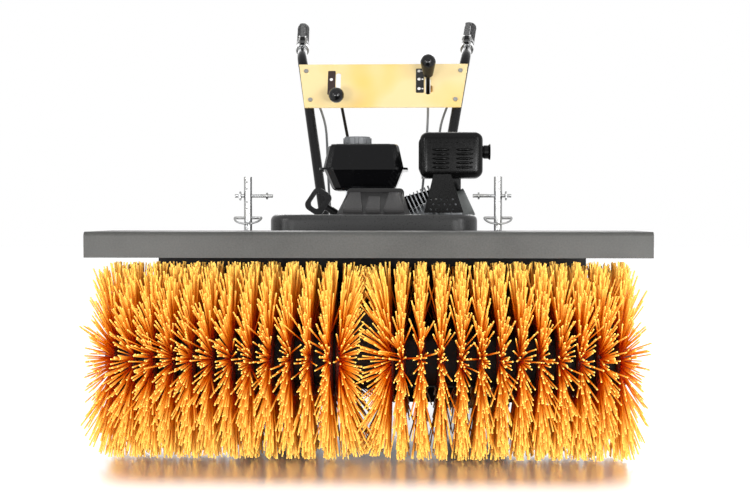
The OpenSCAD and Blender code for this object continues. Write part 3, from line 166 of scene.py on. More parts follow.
class SweeperStage(bpy.types.PropertyGroup):
    """Camera and floor"""

    lens: bpy.props.FloatProperty(
        name="Lens", description="Focal length on a 36 mm wide sensor", default=54.93, unit="CAMERA")
    camera: bpy.props.FloatVectorProperty(
        name="Camera", description="Where the camera stands", subtype="TRANSLATION", unit="LENGTH",
        default=at(91.5, -2021, 430.9))
    turn: angle("Turn", "How far the camera is turned to the left", 2.166)
    dip: angle("Dip", "How far the camera looks down", 1.679)
    floor: colour("Floor", "Pale studio floor", "#F1F1F0")


# Helpers for materials


def add(tree, kind, inputs=None, **settings):
    """Add a shader node with its settings; an input is a value or the socket that it links from."""
    made = tree.nodes.new("ShaderNode" + kind)
    for name, value in settings.items():
        setattr(made, name, value)
    for socket, value in (inputs or {}).items():
        if isinstance(value, bpy.types.NodeSocket):
            tree.links.new(value, made.inputs[socket])
        else:
            made.inputs[socket].default_value = value
    return made


def blank(name, specular=0.5):
    """A new material, its tree, its shader and the piece's own coordinates."""
    material = bpy.data.materials.new(name)
    material.use_nodes = True
    tree = material.node_tree
    shader = tree.nodes["Principled BSDF"]
    shader.inputs["Specular IOR Level"].default_value = specular
    return material, tree, shader, add(tree, "TexCoord").outputs["Object"]


def per_mm(size):
    """The scale at which a pattern's cells are about size millimetres across."""
    return 1 / (size * MM)


def shade(rgba, factor):
    """A colour made lighter or darker by a factor."""
    return [min(1.0, c * factor) for c in rgba[:3]] + [1.0]


# Finishes, one for each real material


def powder_coat(name, rgba, grain, roughness, spread=0.14, bump=0.22, specular=0.5):
    """Powder coat: an even film with a fine orange peel and faint pepper; the peel breaks up highlights."""
    # The real peel is about 0.6 mm; it is drawn coarser so that it shows from two metres away
    material, tree, shader, coords = blank(name, specular)
    peel = add(tree, "TexNoise", {"Vector": coords, "Scale": per_mm(grain), "Detail": 3.0})
    cloud = add(tree, "TexNoise", {"Vector": coords, "Scale": per_mm(90), "Detail": 2.0})
    both = add(tree, "Math", {0: peel.outputs["Fac"], 1: cloud.outputs["Fac"]}, operation="ADD")
    level = add(tree, "MapRange", {"Value": both.outputs[0], "From Min": 0.7, "From Max": 1.3})
    pale, deep = shade(rgba, 1 + spread), shade(rgba, 1 - spread)
    tint = add(tree, "Mix", {"Factor": level.outputs[0], 6: deep, 7: pale}, data_type="RGBA")
    gloss = add(tree, "MapRange", {
        "Value": peel.outputs["Fac"], "From Min": 0.3, "From Max": 0.7,
        "To Min": roughness - 0.07, "To Max": roughness + 0.07})
    relief = add(tree, "Bump", {"Height": peel.outputs["Fac"], "Strength": bump, "Distance": 0.4 * MM})
    tree.links.new(tint.outputs[2], shader.inputs["Base Color"])
    tree.links.new(gloss.outputs[0], shader.inputs["Roughness"])
    tree.links.new(relief.outputs[0], shader.inputs["Normal"])
    return material


def yellow_powder_coat(colours):
    """Pale yellow powder coat on sheet steel: a soft gloss, a little deeper where the film ran thick."""
    material, tree, shader, coords = blank("yellow powder coat")
    patch = add(tree, "TexNoise", {"Vector": coords, "Scale": per_mm(120), "Detail": 1.0})
    deep = add(tree, "MapRange", {"Value": patch.outputs["Fac"], "From Min": 0.45, "From Max": 0.75})
    tint = add(tree, "Mix", {
        "Factor": deep.outputs[0], 6: colours.panel[:], 7: colours.panel_deep[:]}, data_type="RGBA")
    peel = add(tree, "TexNoise", {"Vector": coords, "Scale": per_mm(2.5), "Detail": 2.0})
    relief = add(tree, "Bump", {"Height": peel.outputs["Fac"], "Strength": 0.12, "Distance": 0.3 * MM})
    tree.links.new(tint.outputs[2], shader.inputs["Base Color"])
    tree.links.new(relief.outputs[0], shader.inputs["Normal"])
    shader.inputs["Roughness"].default_value = 0.38
    return material


def gloss_enamel(name, rgba):
    """Gloss enamel baked on pressed steel: a deep wet film with long waves and a little dust on it."""
    material, tree, shader, coords = blank(name, specular=0.18)
    wave = add(tree, "TexNoise", {"Vector": coords, "Scale": per_mm(45), "Detail": 1.0})
    dust = add(tree, "TexNoise", {"Vector": coords, "Scale": per_mm(3), "Detail": 4.0})
    gloss = add(tree, "MapRange", {
        "Value": dust.outputs["Fac"], "From Min": 0.35, "From Max": 0.75, "To Min": 0.07, "To Max": 0.16})
    tint = add(tree, "Mix", {
        "Factor": dust.outputs["Fac"], 6: shade(rgba, 0.8), 7: shade(rgba, 1.5)}, data_type="RGBA")
    relief = add(tree, "Bump", {"Height": wave.outputs["Fac"], "Strength": 0.08, "Distance": 1.0 * MM})
    tree.links.new(tint.outputs[2], shader.inputs["Base Color"])
    tree.links.new(gloss.outputs[0], shader.inputs["Roughness"])
    tree.links.new(relief.outputs[0], shader.inputs["Normal"])
    return material


def moulded(name, rgba, roughness, grain=2.2, bump=0.3, specular=0.3):
    """Moulded nylon or polypropylene: a spark-eroded grain that keeps it matt and slightly grey."""
    # The real grain is about 0.4 mm; it is drawn coarser so that it shows
    material, tree, shader, coords = blank(name, specular)
    cells = add(tree, "TexVoronoi", {"Vector": coords, "Scale": per_mm(grain)})
    cloud = add(tree, "TexNoise", {"Vector": coords, "Scale": per_mm(40), "Detail": 3.0})
    tint = add(tree, "Mix", {
        "Factor": cloud.outputs["Fac"], 6: shade(rgba, 0.8), 7: shade(rgba, 1.25)}, data_type="RGBA")
    gloss = add(tree, "MapRange", {
        "Value": cells.outputs["Distance"], "From Max": 0.8,
        "To Min": roughness + 0.08, "To Max": roughness - 0.08})
    relief = add(tree, "Bump", {
        "Height": cells.outputs["Distance"], "Strength": bump, "Distance": 0.3 * MM})
    tree.links.new(tint.outputs[2], shader.inputs["Base Color"])
    tree.links.new(gloss.outputs[0], shader.inputs["Roughness"])
    tree.links.new(relief.outputs[0], shader.inputs["Normal"])
    return material


def polished_phenolic(rgba):
    """Polished phenolic: nearly black with a hard gloss and hairline scuffs from hands."""
    material, tree, shader, coords = blank("polished phenolic", specular=0.3)
    scuff = add(tree, "TexNoise", {"Vector": coords, "Scale": per_mm(6), "Detail": 5.0, "Distortion": 1.2})
    gloss = add(tree, "MapRange", {
        "Value": scuff.outputs["Fac"], "From Min": 0.3, "From Max": 0.8, "To Min": 0.1, "To Max": 0.26})
    tint = add(tree, "Mix", {
        "Factor": scuff.outputs["Fac"], 6: shade(rgba, 0.8), 7: shade(rgba, 1.6)}, data_type="RGBA")
    tree.links.new(tint.outputs[2], shader.inputs["Base Color"])
    tree.links.new(gloss.outputs[0], shader.inputs["Roughness"])
    return material


def rubber(name, rgba, dust_rgba, dust):
    """Black rubber: matt, with pale dust that gathers in patches and a faint pebble."""
    material, tree, shader, coords = blank(name, specular=0.25)
    patch = add(tree, "TexNoise", {"Vector": coords, "Scale": per_mm(35), "Detail": 6.0, "Roughness": 0.65})
    pebble = add(tree, "TexNoise", {"Vector": coords, "Scale": per_mm(2), "Detail": 2.0})
    cover = add(tree, "MapRange", {
        "Value": patch.outputs["Fac"], "From Min": 0.42, "From Max": 0.8, "To Max": dust})
    tint = add(tree, "Mix", {"Factor": cover.outputs[0], 6: rgba, 7: dust_rgba}, data_type="RGBA")
    gloss = add(tree, "MapRange", {"Value": patch.outputs["Fac"], "To Min": 0.5, "To Max": 0.85})
    relief = add(tree, "Bump", {"Height": pebble.outputs["Fac"], "Strength": 0.3, "Distance": 0.3 * MM})
    tree.links.new(tint.outputs[2], shader.inputs["Base Color"])
    tree.links.new(gloss.outputs[0], shader.inputs["Roughness"])
    tree.links.new(relief.outputs[0], shader.inputs["Normal"])
    return material


def bright_zinc():
    """Bright zinc plate: a cool mirror broken by soft spangle, with a straw tint from passivation."""
    material, tree, shader, coords = blank("bright zinc plate")
    spangle = add(tree, "TexVoronoi", {"Vector": coords, "Scale": per_mm(7)})
    haze = add(tree, "TexNoise", {"Vector": coords, "Scale": per_mm(25), "Detail": 4.0})
    tint = add(tree, "Mix", {
        "Factor": haze.outputs["Fac"], 6: linear("#A9ABAF"), 7: linear("#8E8C85")}, data_type="RGBA")
    gloss = add(tree, "MapRange", {
        "Value": spangle.outputs["Distance"], "From Max": 0.7, "To Min": 0.2, "To Max": 0.38})
    tree.links.new(tint.outputs[2], shader.inputs["Base Color"])
    tree.links.new(gloss.outputs[0], shader.inputs["Roughness"])
    shader.inputs["Metallic"].default_value = 1.0
    return material


def bare_metal(name, light, dark, roughness, grain):
    """Machined or cast metal without a coat: tool marks and oxide vary its grey and its gloss."""
    material, tree, shader, coords = blank(name)
    oxide = add(tree, "TexNoise", {"Vector": coords, "Scale": per_mm(18), "Detail": 6.0, "Roughness": 0.6})
    cast = add(tree, "TexNoise", {"Vector": coords, "Scale": per_mm(grain), "Detail": 3.0})
    tint = add(tree, "Mix", {
        "Factor": oxide.outputs["Fac"], 6: linear(dark), 7: linear(light)}, data_type="RGBA")
    gloss = add(tree, "MapRange", {
        "Value": cast.outputs["Fac"], "From Min": 0.3, "From Max": 0.7,
        "To Min": roughness - 0.1, "To Max": roughness + 0.1})
    relief = add(tree, "Bump", {"Height": cast.outputs["Fac"], "Strength": 0.3, "Distance": 0.3 * MM})
    tree.links.new(tint.outputs[2], shader.inputs["Base Color"])
    tree.links.new(gloss.outputs[0], shader.inputs["Roughness"])
    tree.links.new(relief.outputs[0], shader.inputs["Normal"])
    shader.inputs["Metallic"].default_value = 1.0
    return material


def strand_plastic(colours):
    """Orange polypropylene monofilament: waxy, with painted shade and light along each strand: deep red
    towards the roots inside the rings, pale towards the cut tips.
    """
    # The strand's own attributes carry how far along it a point lies, and its shade of orange
    material, tree, shader, coords = blank("orange polypropylene monofilament", specular=0.22)
    along = add(tree, "Attribute", attribute_name="along").outputs["Fac"]
    tone = add(tree, "Attribute", attribute_name="tone").outputs["Fac"]
    # Painted shade: the colour runs to deep red towards each strand's root, where the rings shade one
    # another
    rise = add(tree, "MapRange", {
        "Value": along, "From Min": 0.05, "From Max": 0.6}, interpolation_type="SMOOTHSTEP")
    low = add(tree, "Mix", {
        "Factor": rise.outputs[0], 6: colours.strand_root_painted_shade[:], 7: colours.strand[:]}, data_type="RGBA")
    # Painted light: the outer half pales towards the tip, partly the cut tips' own paleness and partly
    # light falling on the brush's outside
    pale = add(tree, "MapRange", {"Value": along, "From Min": 0.5, "From Max": 1.0, "To Max": 0.9})
    high = add(tree, "Mix", {
        "Factor": pale.outputs[0], 6: low.outputs[2], 7: colours.strand_tip_and_painted_light[:]}, data_type="RGBA")
    dull = add(tree, "MapRange", {"Value": tone, "To Min": 0.9, "To Max": 1.0})
    tint = add(tree, "Mix", {
        "Factor": 1.0, 6: high.outputs[2], 7: dull.outputs[0]}, data_type="RGBA", blend_type="MULTIPLY")
    drawn = add(tree, "TexNoise", {"Vector": coords, "Scale": per_mm(4), "Detail": 2.0})
    gloss = add(tree, "MapRange", {"Value": drawn.outputs["Fac"], "To Min": 0.34, "To Max": 0.54})
    tree.links.new(tint.outputs[2], shader.inputs["Base Color"])
    tree.links.new(gloss.outputs[0], shader.inputs["Roughness"])
    return material


def printed_mark(name, rgba):
    """Screen-printed ink on the control plates: flat, faintly worn through."""
    material, tree, shader, coords = blank(name)
    wear = add(tree, "TexNoise", {"Vector": coords, "Scale": per_mm(5), "Detail": 5.0})
    tint = add(tree, "Mix", {
        "Factor": wear.outputs["Fac"], 6: shade(rgba, 0.85), 7: shade(rgba, 1.08)}, data_type="RGBA")
    tree.links.new(tint.outputs[2], shader.inputs["Base Color"])
    shader.inputs["Roughness"].default_value = 0.5
    return material


def finishes(colours):
    """Every finish by the record's slot name."""
    dust = linear("#8C867B")
    return {
        "hood_paint": powder_coat(
            "textured grey powder coat", colours.hood[:], 3.2, 0.46, spread=0.2, specular=0.2),
        "black_paint": powder_coat("black stove enamel", colours.frame[:], 4, 0.3, bump=0.12, specular=0.2),
        "guard_paint": powder_coat(
            "satin charcoal powder coat", colours.guard[:], 3, 0.32, bump=0.1, specular=0.25),
        "cover_plastic": moulded("grained charcoal polypropylene", colours.cover[:], 0.55),
        "panel_yellow": yellow_powder_coat(colours),
        "bristle_orange": strand_plastic(colours),
        "zinc": bright_zinc(),
        "steel": bare_metal("ground steel", "#C9CBCE", "#8E9093", 0.32, 1.5),
        "pulley_steel": bare_metal("blacked pressed steel", "#5A5C5F", "#333436", 0.42, 2),
        "core_steel": powder_coat("black painted tube", linear("#101011"), 4, 0.5, specular=0.2),
        "bronze": bare_metal("cast bronze", "#C79A55", "#8A6430", 0.35, 2),
        "gear_iron": powder_coat(
            "black painted cast iron", linear("#141415"), 3, 0.5, bump=0.4, specular=0.2),
        "engine_aluminium": bare_metal("die-cast aluminium", "#B4B6B9", "#77797C", 0.42, 2.2),
        "transmission_aluminium": bare_metal("sand-cast aluminium", "#B9BBBE", "#808286", 0.55, 2.6),
        "flywheel_iron": bare_metal("turned cast iron", "#8B8D90", "#55575A", 0.45, 2),
        "tank_gloss": gloss_enamel("gloss black enamel", colours.tank[:]),
        "cap_plastic": moulded("grey ribbed nylon", linear("#6A6C6E"), 0.5),
        "moulded_black": moulded("moulded black nylon", linear("#0F0F10"), 0.44, specular=0.2),
        "knob_black": polished_phenolic(colours.knob[:]),
        "rubber_black": rubber("grip rubber", linear("#18181A"), linear("#4A4946"), 0.35),
        "cable_grey": rubber("grey PVC sleeve", linear("#77797B"), linear("#9B9C9C"), 0.6),
        "tyre_black": rubber("tyre rubber", linear("#171718"), dust, 0.45),
        "rim_white": powder_coat("white stove enamel", linear("#E4E4DF"), 4, 0.3, spread=0.05),
    }


# Helpers for pieces


def in_scene(name, data):
    """A new object in the scene."""
    made = bpy.data.objects.new(name, data)
    bpy.context.scene.collection.objects.link(made)
    return made


def piece(name, bm, material, body, slot, *stands_for, smooth=True):
    """Turn a bmesh into a finished piece that rides on a body, if named, and may stand for CAD nodes."""
    mesh = bpy.data.meshes.new(name)
    bm.to_mesh(mesh)
    bm.free()
    mesh.materials.append(material)
    if smooth:
        mesh.shade_smooth()
        mesh.set_sharp_from_angle(angle=SMOOTH_ANGLE)
    made = in_scene(name, mesh)
    if body:
        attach(made, body)
    if stands_for:
        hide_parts(*stands_for)
    return made


def turned(bm, outline, matrix=Matrix(), steps=48):
    """Spin an outline of radius and height in millimetres round Z, then put it in place."""
    before = set(bm.verts)
    corners = [bm.verts.new((r * MM, 0, h * MM)) for r, h in outline]
    line = [bm.edges.new(pair) for pair in zip(corners, corners[1:])]
    bmesh.ops.spin(bm, geom=corners + line, cent=(0, 0, 0), axis=(0, 0, 1),
                   angle=2 * math.pi, steps=steps, use_merge=True)
    skin = [v for v in bm.verts if v not in before]
    bmesh.ops.remove_doubles(bm, verts=skin, dist=WELD)
    skin = [v for v in bm.verts if v not in before]
    bmesh.ops.recalc_face_normals(bm, faces=list({f for v in skin for f in v.link_faces}))
    bmesh.ops.transform(bm, matrix=matrix, verts=skin)


def edges_where(bm, wanted):
    """The edges whose two ends and direction pass a test."""
    found = []
    for edge in bm.edges:
        first, last = (v.co for v in edge.verts)
        if wanted(first, last, (last - first).normalized()):
            found.append(edge)
    return found


def settle(bm, matrix):
    """Put a whole shape in place."""
    bmesh.ops.transform(bm, matrix=matrix, verts=bm.verts)
    return bm


def round_edges(bm, edges, radius, segments):
    """Round edges by a radius in millimetres."""
    bmesh.ops.bevel(bm, geom=edges, offset=radius * MM, segments=segments, profile=0.5,
                    affect="EDGES", material=-1)


def box_shape(low, high):
    """A new box between two corners in millimetres."""
    bm = bmesh.new()
    size = (Vector(high) - Vector(low)) * MM
    middle = (Vector(high) + Vector(low)) / 2 * MM
    bmesh.ops.create_cube(bm, size=1, matrix=Matrix.Translation(middle) @ Matrix.Diagonal((*size, 1)))
    return bm


def draw_in(bm, axis, side, factors):
    """Scale the corners on one side of a box about their middle."""
    ends = sorted(bm.verts, key=lambda v: side * v.co[axis])[-4:]
    middle = sum((v.co for v in ends), Vector()) / len(ends)
    bmesh.ops.scale(bm, vec=factors, verts=ends, space=Matrix.Translation(-middle))


def rounded_box(low, high, radius, segments=3, axis=None):
    """A new box in millimetres with every edge rounded, or only the edges along one axis."""
    bm = box_shape(low, high)
    chosen = edges_where(bm, lambda a, b, d: axis is None or abs(d[axis]) > ALIGNED)
    round_edges(bm, chosen, radius, segments)
    return bm


def open_sides(bm, *directions):
    """Take away the faces that look in given directions."""
    bm.normal_update()
    gone = [f for f in bm.faces if any(f.normal.dot(Vector(d)) > ALIGNED for d in directions)]
    bmesh.ops.delete(bm, geom=gone, context="FACES")


def sheet(bm, thickness):
    """Give an open shell the thickness of its sheet, inwards, in millimetres."""
    bmesh.ops.solidify(bm, geom=bm.faces[:], thickness=thickness * MM)


def join(bm, shape, matrix=Matrix()):
    """Move a finished shape into another one at a place."""
    settle(shape, matrix)
    mesh = bpy.data.meshes.new("shape")
    shape.to_mesh(mesh)
    shape.free()
    bm.from_mesh(mesh)
    bpy.data.meshes.remove(mesh)


# Brush


SIDE_NAMES = {-1: "left", 1: "right"}
SEED = 41
STRAND_STEPS = 2
STRAND_SHAPES = 8
# Largest bow as a share of a strand's length, and scatter of the roots as a share of the rim's width
STRAND_BOW = 0.03
ROOT_SCATTER = 0.2
# Sizes in millimetres
ROOT_DEPTH = 4
RIM_GAP = 0.3
RIM_CHAMFER = 2


def strand_shape(number, width, reach, rng):
    """One strand with its root at the origin, standing along Z and bowing to one side."""
    bm = bmesh.new()
    bmesh.ops.create_circle(bm, cap_ends=True, segments=4, radius=width / math.sqrt(2))
    tip = bm.faces[:]
    bow = rng.uniform(0.0, STRAND_BOW) * reach
    for step in range(1, STRAND_STEPS + 1):
        grown = bmesh.ops.extrude_face_region(bm, geom=tip)["geom"]
        tip = [g for g in grown if isinstance(g, bmesh.types.BMFace)]
        corners = [g for g in grown if isinstance(g, bmesh.types.BMVert)]
        sway = bow * (2 * step - 1) / STRAND_STEPS ** 2
        bmesh.ops.translate(bm, verts=corners, vec=(sway, 0, reach / STRAND_STEPS))
    bmesh.ops.recalc_face_normals(bm, faces=bm.faces)
    mesh = bpy.data.meshes.new(f"strand_{number}")
    bm.to_mesh(mesh)
    bm.free()
    return mesh


def plant(bm, shape, matrix):
    """Add a copy of a mesh at a place."""
    copy = shape.copy()
    copy.transform(matrix)
    bm.from_mesh(copy)
    bpy.data.meshes.remove(copy)


def ring_places(brush):
    """Distance from the middle and lean of each ring, from the gearbox outwards."""
    places = [(brush.inner_ring, 0.0)]
    end_leans = {brush.rings - 1: brush.outer_lean, brush.rings - 2: brush.next_lean}
    for number in range(brush.rings):
        places.append((brush.first_ring + number * brush.ring_pitch, end_leans.get(number, 0.0)))
    return places


def strand_matrix(side, x, turn, lean, swing, root, twist, stretch):
    """Place of a strand: turned round the brush axis, leaning outwards and swung along the ring."""
    return (Matrix.Translation((side * x, AXIS.y, AXIS.z)) @ Matrix.Rotation(turn, 4, "X")
            @ Matrix.Translation((0, 0, root)) @ Matrix.Rotation(side * lean, 4, "Y")
            @ Matrix.Rotation(swing, 4, "X") @ Matrix.Rotation(twist, 4, "Z")
            @ Matrix.Diagonal((1, 1, stretch, 1)))


def brush_half(side, brush, material):
    """All strands on one side of the gearbox, as one piece."""
    rng = random.Random(SEED + side)
    root = brush.rim_radius - ROOT_DEPTH * MM
    reach = brush.tip_radius - root
    shapes = [strand_shape(n, brush.strand_width, reach, rng) for n in range(STRAND_SHAPES)]
    bm = bmesh.new()
    tones = []
    for ring, (x, ring_lean) in enumerate(ring_places(brush)):
        fan = brush.fan + (brush.outer_fan - brush.fan) * ring / brush.rings
        for number in range(brush.strands):
            turn = math.tau * (number + rng.random()) / brush.strands
            lean = ring_lean + rng.gauss(0, fan if rng.random() > brush.stray_share else brush.stray)
            if x == brush.inner_ring:
                lean = -abs(lean) - brush.inner_lean * rng.random()
            swing = rng.gauss(0, brush.fan)
            short = brush.ragged * rng.random() ** 2
            stretch = (brush.tip_radius - short - root) / reach * math.cos(swing)
            off = rng.uniform(-ROOT_SCATTER, ROOT_SCATTER) * brush.rim_width
            plant(bm, rng.choice(shapes), strand_matrix(
                side, x + off, turn, lean, swing, root, rng.uniform(0, math.tau), stretch))
            tones.append(rng.random())
    name, node = (kind + SIDE_NAMES[side] for kind in ("strands_", "bristles_"))
    made = piece(name, bm, material, "brush", "bristle_orange", node, smooth=False)
    corner_count = len(shapes[0].vertices)
    heights = [v.co.z / reach for v in shapes[0].vertices]
    along = made.data.attributes.new("along", "FLOAT", "POINT")
    along.data.foreach_set("value", heights * len(tones))
    tone = made.data.attributes.new("tone", "FLOAT", "POINT")
    tone.data.foreach_set("value", [t for t in tones for _ in range(corner_count)])
    for shape in shapes:
        bpy.data.meshes.remove(shape)


def brush_rims(side, brush, material):
    """The moulded rims that hold the strands, one to a ring."""
    bm = bmesh.new()
    outer = brush.rim_radius / MM
    inner = brush.core_radius / MM + RIM_GAP
    half = brush.rim_width / MM / 2
    outline = [
        (inner, -half), (outer - RIM_CHAMFER, -half), (outer, RIM_CHAMFER - half),
        (outer, half - RIM_CHAMFER), (outer - RIM_CHAMFER, half), (inner, half), (inner, -half)]
    for x, _ in ring_places(brush):
        place = Matrix.Translation((side * x, AXIS.y, AXIS.z)) @ Matrix.Rotation(math.pi / 2, 4, "Y")
        turned(bm, outline, place, steps=40)
    piece("rims_" + SIDE_NAMES[side], bm, material, "brush", "moulded_black")


class SWEEPER_OT_bristles(bpy.types.Operator):
    """Fill every ring of the brush with strands and give it its rim"""

    bl_idname = "sweeper.bristles"
    bl_label = "Bristles"

    def execute(self, context):
        brush = context.scene.sweeper_brush
        rim = moulded("dark red polypropylene", linear("#5A1E08"), 0.5)
        for side in SIDE_NAMES:
            brush_half(side, brush, bpy.data.materials["orange polypropylene monofilament"])
            brush_rims(side, brush, rim)
        return {"FINISHED"}


# Hood


HOOD_BEND = 8
HOOD_SHEET = 3


def hood_sheet():
    """The hood folded from one sheet, open below and at both ends, with its two long bends rounded."""
    low, high = box_of("hood")
    bm = box_shape(low, high)
    top = high.z * MM - NEAR
    bends = edges_where(bm, lambda a, b, d: abs(d.x) > ALIGNED and min(a.z, b.z) > top)
    round_edges(bm, bends, HOOD_BEND, segments=5)
    open_sides(bm, (0, 0, -1), (1, 0, 0), (-1, 0, 0))
    sheet(bm, HOOD_SHEET)
    return settle(bm, HOME)


class SWEEPER_OT_hood(bpy.types.Operator):
    """Fold the hood from one sheet"""

    bl_idname = "sweeper.hood"
    bl_label = "Hood"

    def execute(self, context):
        coat = bpy.data.materials["textured grey powder coat"]
        piece("hood_sheet", hood_sheet(), coat, "head", "hood_paint", "hood")
        return {"FINISHED"}


# Engine


GUARD_LEFT = 95
GUARD_EDGE = 17
GUARD_SHEET = 2
LOUVRE_COLUMNS = (140, 191)
LOUVRE_ROWS = tuple(537 + 9.5 * i for i in range(5))
LOUVRE_HALF = (19, 5, 3.4)
GUARD_DOTS = tuple(116 + 12 * i for i in range(9))
GUARD_DOT_HEIGHT = 592
GUARD_DOT_SUNK = 0.5
GUARD_DOT_HALF = (2.2, 1.8, 2.2)
OUTLET_BACK = 496
OUTLET_HEIGHT = 572
OUTLET_RIM = ((13.2, 2), (15, 4), (15, 13), (17.5, 16), (17.5, 17.5), (13.2, 16.5), (13.2, 2))
# The near-black sheet set behind the cylinder's fins
FIN_BACKING = ((-40, 580, -30), (38, 582, 30))
FIN_BACKING_CORNER = 6
FIN_BACKING_PLACE = Vector((94, 0, 454))
FIN_BACKING_TILT = -15
TANK_HALVES = (
    # low corner, high corner, which end is closed, how much narrower it is there, corner and shoulder
    ((-121, 514, 537), (59, 676, 593), 1, (0.86, 0.86), 17, 8),
    ((-119, 515, 488), (57, 675, 536), -1, (0.78, 0.82), 20, 10),
)
TANK_FLANGE = ((-130, 507, 534.5), (68, 683, 539.5))
TANK_FLANGE_CORNER = 34
FILLER_PLACE = Vector((-47, 587, 0))
FILLER_NECK = ((19.5, 588), (19.5, 601), (22, 601), (22, 588))


def raised(bm, place, half_sizes):
    """A rounded bump at a place, in millimetres, raised from a sheet."""
    matrix = Matrix.Translation(Vector(place) * MM) @ Matrix.Diagonal((*(Vector(half_sizes) * MM), 1))
    bmesh.ops.create_uvsphere(bm, u_segments=12, v_segments=8, radius=1, matrix=matrix)


def muffler_guard():
    """The guard's sheet with round edges, two columns of louvres, a row of dots and the outlet's rim."""
    low, high = box_of("muffler_guard")
    low.x = GUARD_LEFT
    bm = box_shape(low, high)
    back = high.y * MM - NEAR
    round_edges(bm, edges_where(bm, lambda a, b, d: min(a.y, b.y) < back), GUARD_EDGE, segments=6)
    open_sides(bm, (0, 1, 0))
    sheet(bm, GUARD_SHEET)
    for x in LOUVRE_COLUMNS:
        for z in LOUVRE_ROWS:
            raised(bm, (x, low.y, z), LOUVRE_HALF)
    for x in GUARD_DOTS:
        raised(bm, (x, low.y + GUARD_DOT_SUNK, GUARD_DOT_HEIGHT), GUARD_DOT_HALF)
    outlet = Vector((high.x, OUTLET_BACK, OUTLET_HEIGHT)) * MM
    turned(bm, OUTLET_RIM, Matrix.Translation(outlet) @ Matrix.Rotation(math.pi / 2, 4, "Y"), steps=32)
    return settle(bm, HOME)


def dark_sheet_behind_fins():
    """A near-black sheet behind the cylinder's fins, so that the fins show against dark rather than the
    white background.
    """
    bm = rounded_box(*FIN_BACKING, FIN_BACKING_CORNER, segments=3, axis=1)
    tilt = Matrix.Rotation(math.radians(FIN_BACKING_TILT), 4, "Y")
    return settle(bm, HOME @ Matrix.Translation(FIN_BACKING_PLACE * MM) @ tilt)


def pressed_half(low, high, closed, shrink, corner, shoulder):
    """Half a pressed tank: drawn in at its closed end, with flat-pressed corners and a soft shoulder."""
    bm = box_shape(low, high)
    draw_in(bm, 2, closed, (*shrink, 1))
    round_edges(bm, edges_where(bm, lambda a, b, d: abs(d.z) > 0.5), corner, segments=2)
    end = (high if closed > 0 else low)[2] * MM
    rim = edges_where(bm, lambda a, b, d: max(abs(a.z - end), abs(b.z - end)) < NEAR)
    round_edges(bm, rim, shoulder, segments=6)
    return bm


def fuel_tank():
    """Two pressed halves, the flange where they meet and the filler's neck."""
    bm = bmesh.new()
    for half in TANK_HALVES:
        join(bm, pressed_half(*half))
    join(bm, rounded_box(*TANK_FLANGE, TANK_FLANGE_CORNER, segments=8, axis=2))
    turned(bm, FILLER_NECK, Matrix.Translation(FILLER_PLACE * MM))
    return settle(bm, HOME)


class SWEEPER_OT_engine(bpy.types.Operator):
    """Press the fuel tank and the muffler guard from sheet, and set the near-black sheet behind the fins"""

    bl_idname = "sweeper.engine"
    bl_label = "Tank and guard"

    def execute(self, context):
        heat = bpy.data.materials["heat-resistant black"]
        gloss = bpy.data.materials["gloss black enamel"]
        piece("guard_sheet", muffler_guard(), heat, "chassis", "black_paint", "muffler_guard")
        piece("dark_sheet_behind_fins", dark_sheet_behind_fins(), heat, "chassis", "black_paint")
        piece("tank_halves", fuel_tank(), gloss, "chassis", "tank_gloss", "fuel_tank", smooth=False)
        return {"FINISHED"}


# Belt


class SWEEPER_OT_belt(bpy.types.Operator):
    """Copy the brush belt from the construction as one welded piece of grip rubber, in place of its node"""

    bl_idname = "sweeper.belt"
    bl_label = "Brush belt"

    def execute(self, context):
        bm = bmesh.new()
        bm.from_mesh(frame["nodes"]["brush_belt"].data)
        bmesh.ops.remove_doubles(bm, verts=bm.verts, dist=WELD)
        belt_rubber = bpy.data.materials["grip rubber"]
        made = piece("twisting_belt", bm, belt_rubber, None, "rubber_black", "brush_belt")
        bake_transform(made)
        return {"FINISHED"}


# Ridged cover


COVER_FRONT = (300, 437)
COVER_CREST = (425, 487)
COVER_HALF = 75
COVER_DEPTH = 14
COVER_TAPER = 0.78
COVER_EDGE = 3
COVER_BLOCK = ((-61, 414, 435.3), (61, 456, 491))
COVER_BLOCK_EDGE = 9
COVER_PADS = (
    # left, right, how far up the slope and how much narrower there
    (-62, -22, 100, 0.62),
    (-16, 15, 76, 0.8),
    (21, 63, 100, 0.62),
)
PAD_FOOT = 5
PAD_SUNK = 3
PAD_RISE = 9
PAD_EDGE = 2.2
TRAY_CORNER = 55
TRAY_EDGE = 13
TRAY_SHEET = 3


def ridged_cover():
    """A sloping cover with a smooth back block, and the three raised pads in front of it."""
    rise = COVER_CREST[1] - COVER_FRONT[1]
    run = COVER_CREST[0] - COVER_FRONT[0]
    foot = Matrix.Translation(Vector((0, *COVER_FRONT)) * MM)
    slope = foot @ Matrix.Rotation(math.atan2(rise, run), 4, "X")
    base = box_shape((-COVER_HALF, 0, -COVER_DEPTH), (COVER_HALF, math.hypot(rise, run), 0))
    draw_in(base, 1, 1, (COVER_TAPER, 1, 1))
    round_edges(base, base.edges[:], COVER_EDGE, segments=2)
    settle(base, slope)
    join(base, rounded_box(*COVER_BLOCK, COVER_BLOCK_EDGE, segments=4))
    pads = bmesh.new()
    for left, right, far, narrow in COVER_PADS:
        pad = box_shape((left, PAD_FOOT, -PAD_SUNK), (right, far, PAD_RISE))
        draw_in(pad, 1, 1, (narrow, 1, 1))
        round_edges(pad, pad.edges[:], PAD_EDGE, segments=3)
        join(pads, pad, slope)
    return settle(base, HOME), settle(pads, HOME)


def belt_guard():
    """A deep tray turned over: round corners in plan, a soft upper edge, open below and behind."""
    low, high = box_of("belt_guard")
    bm = box_shape(low, high)
    round_edges(bm, edges_where(bm, lambda a, b, d: abs(d.z) > ALIGNED), TRAY_CORNER, segments=9)
    top = high.z * MM - NEAR
    round_edges(bm, edges_where(bm, lambda a, b, d: min(a.z, b.z) > top), TRAY_EDGE, segments=5)
    open_sides(bm, (0, 0, -1), (0, 1, 0))
    sheet(bm, TRAY_SHEET)
    return settle(bm, HOME)


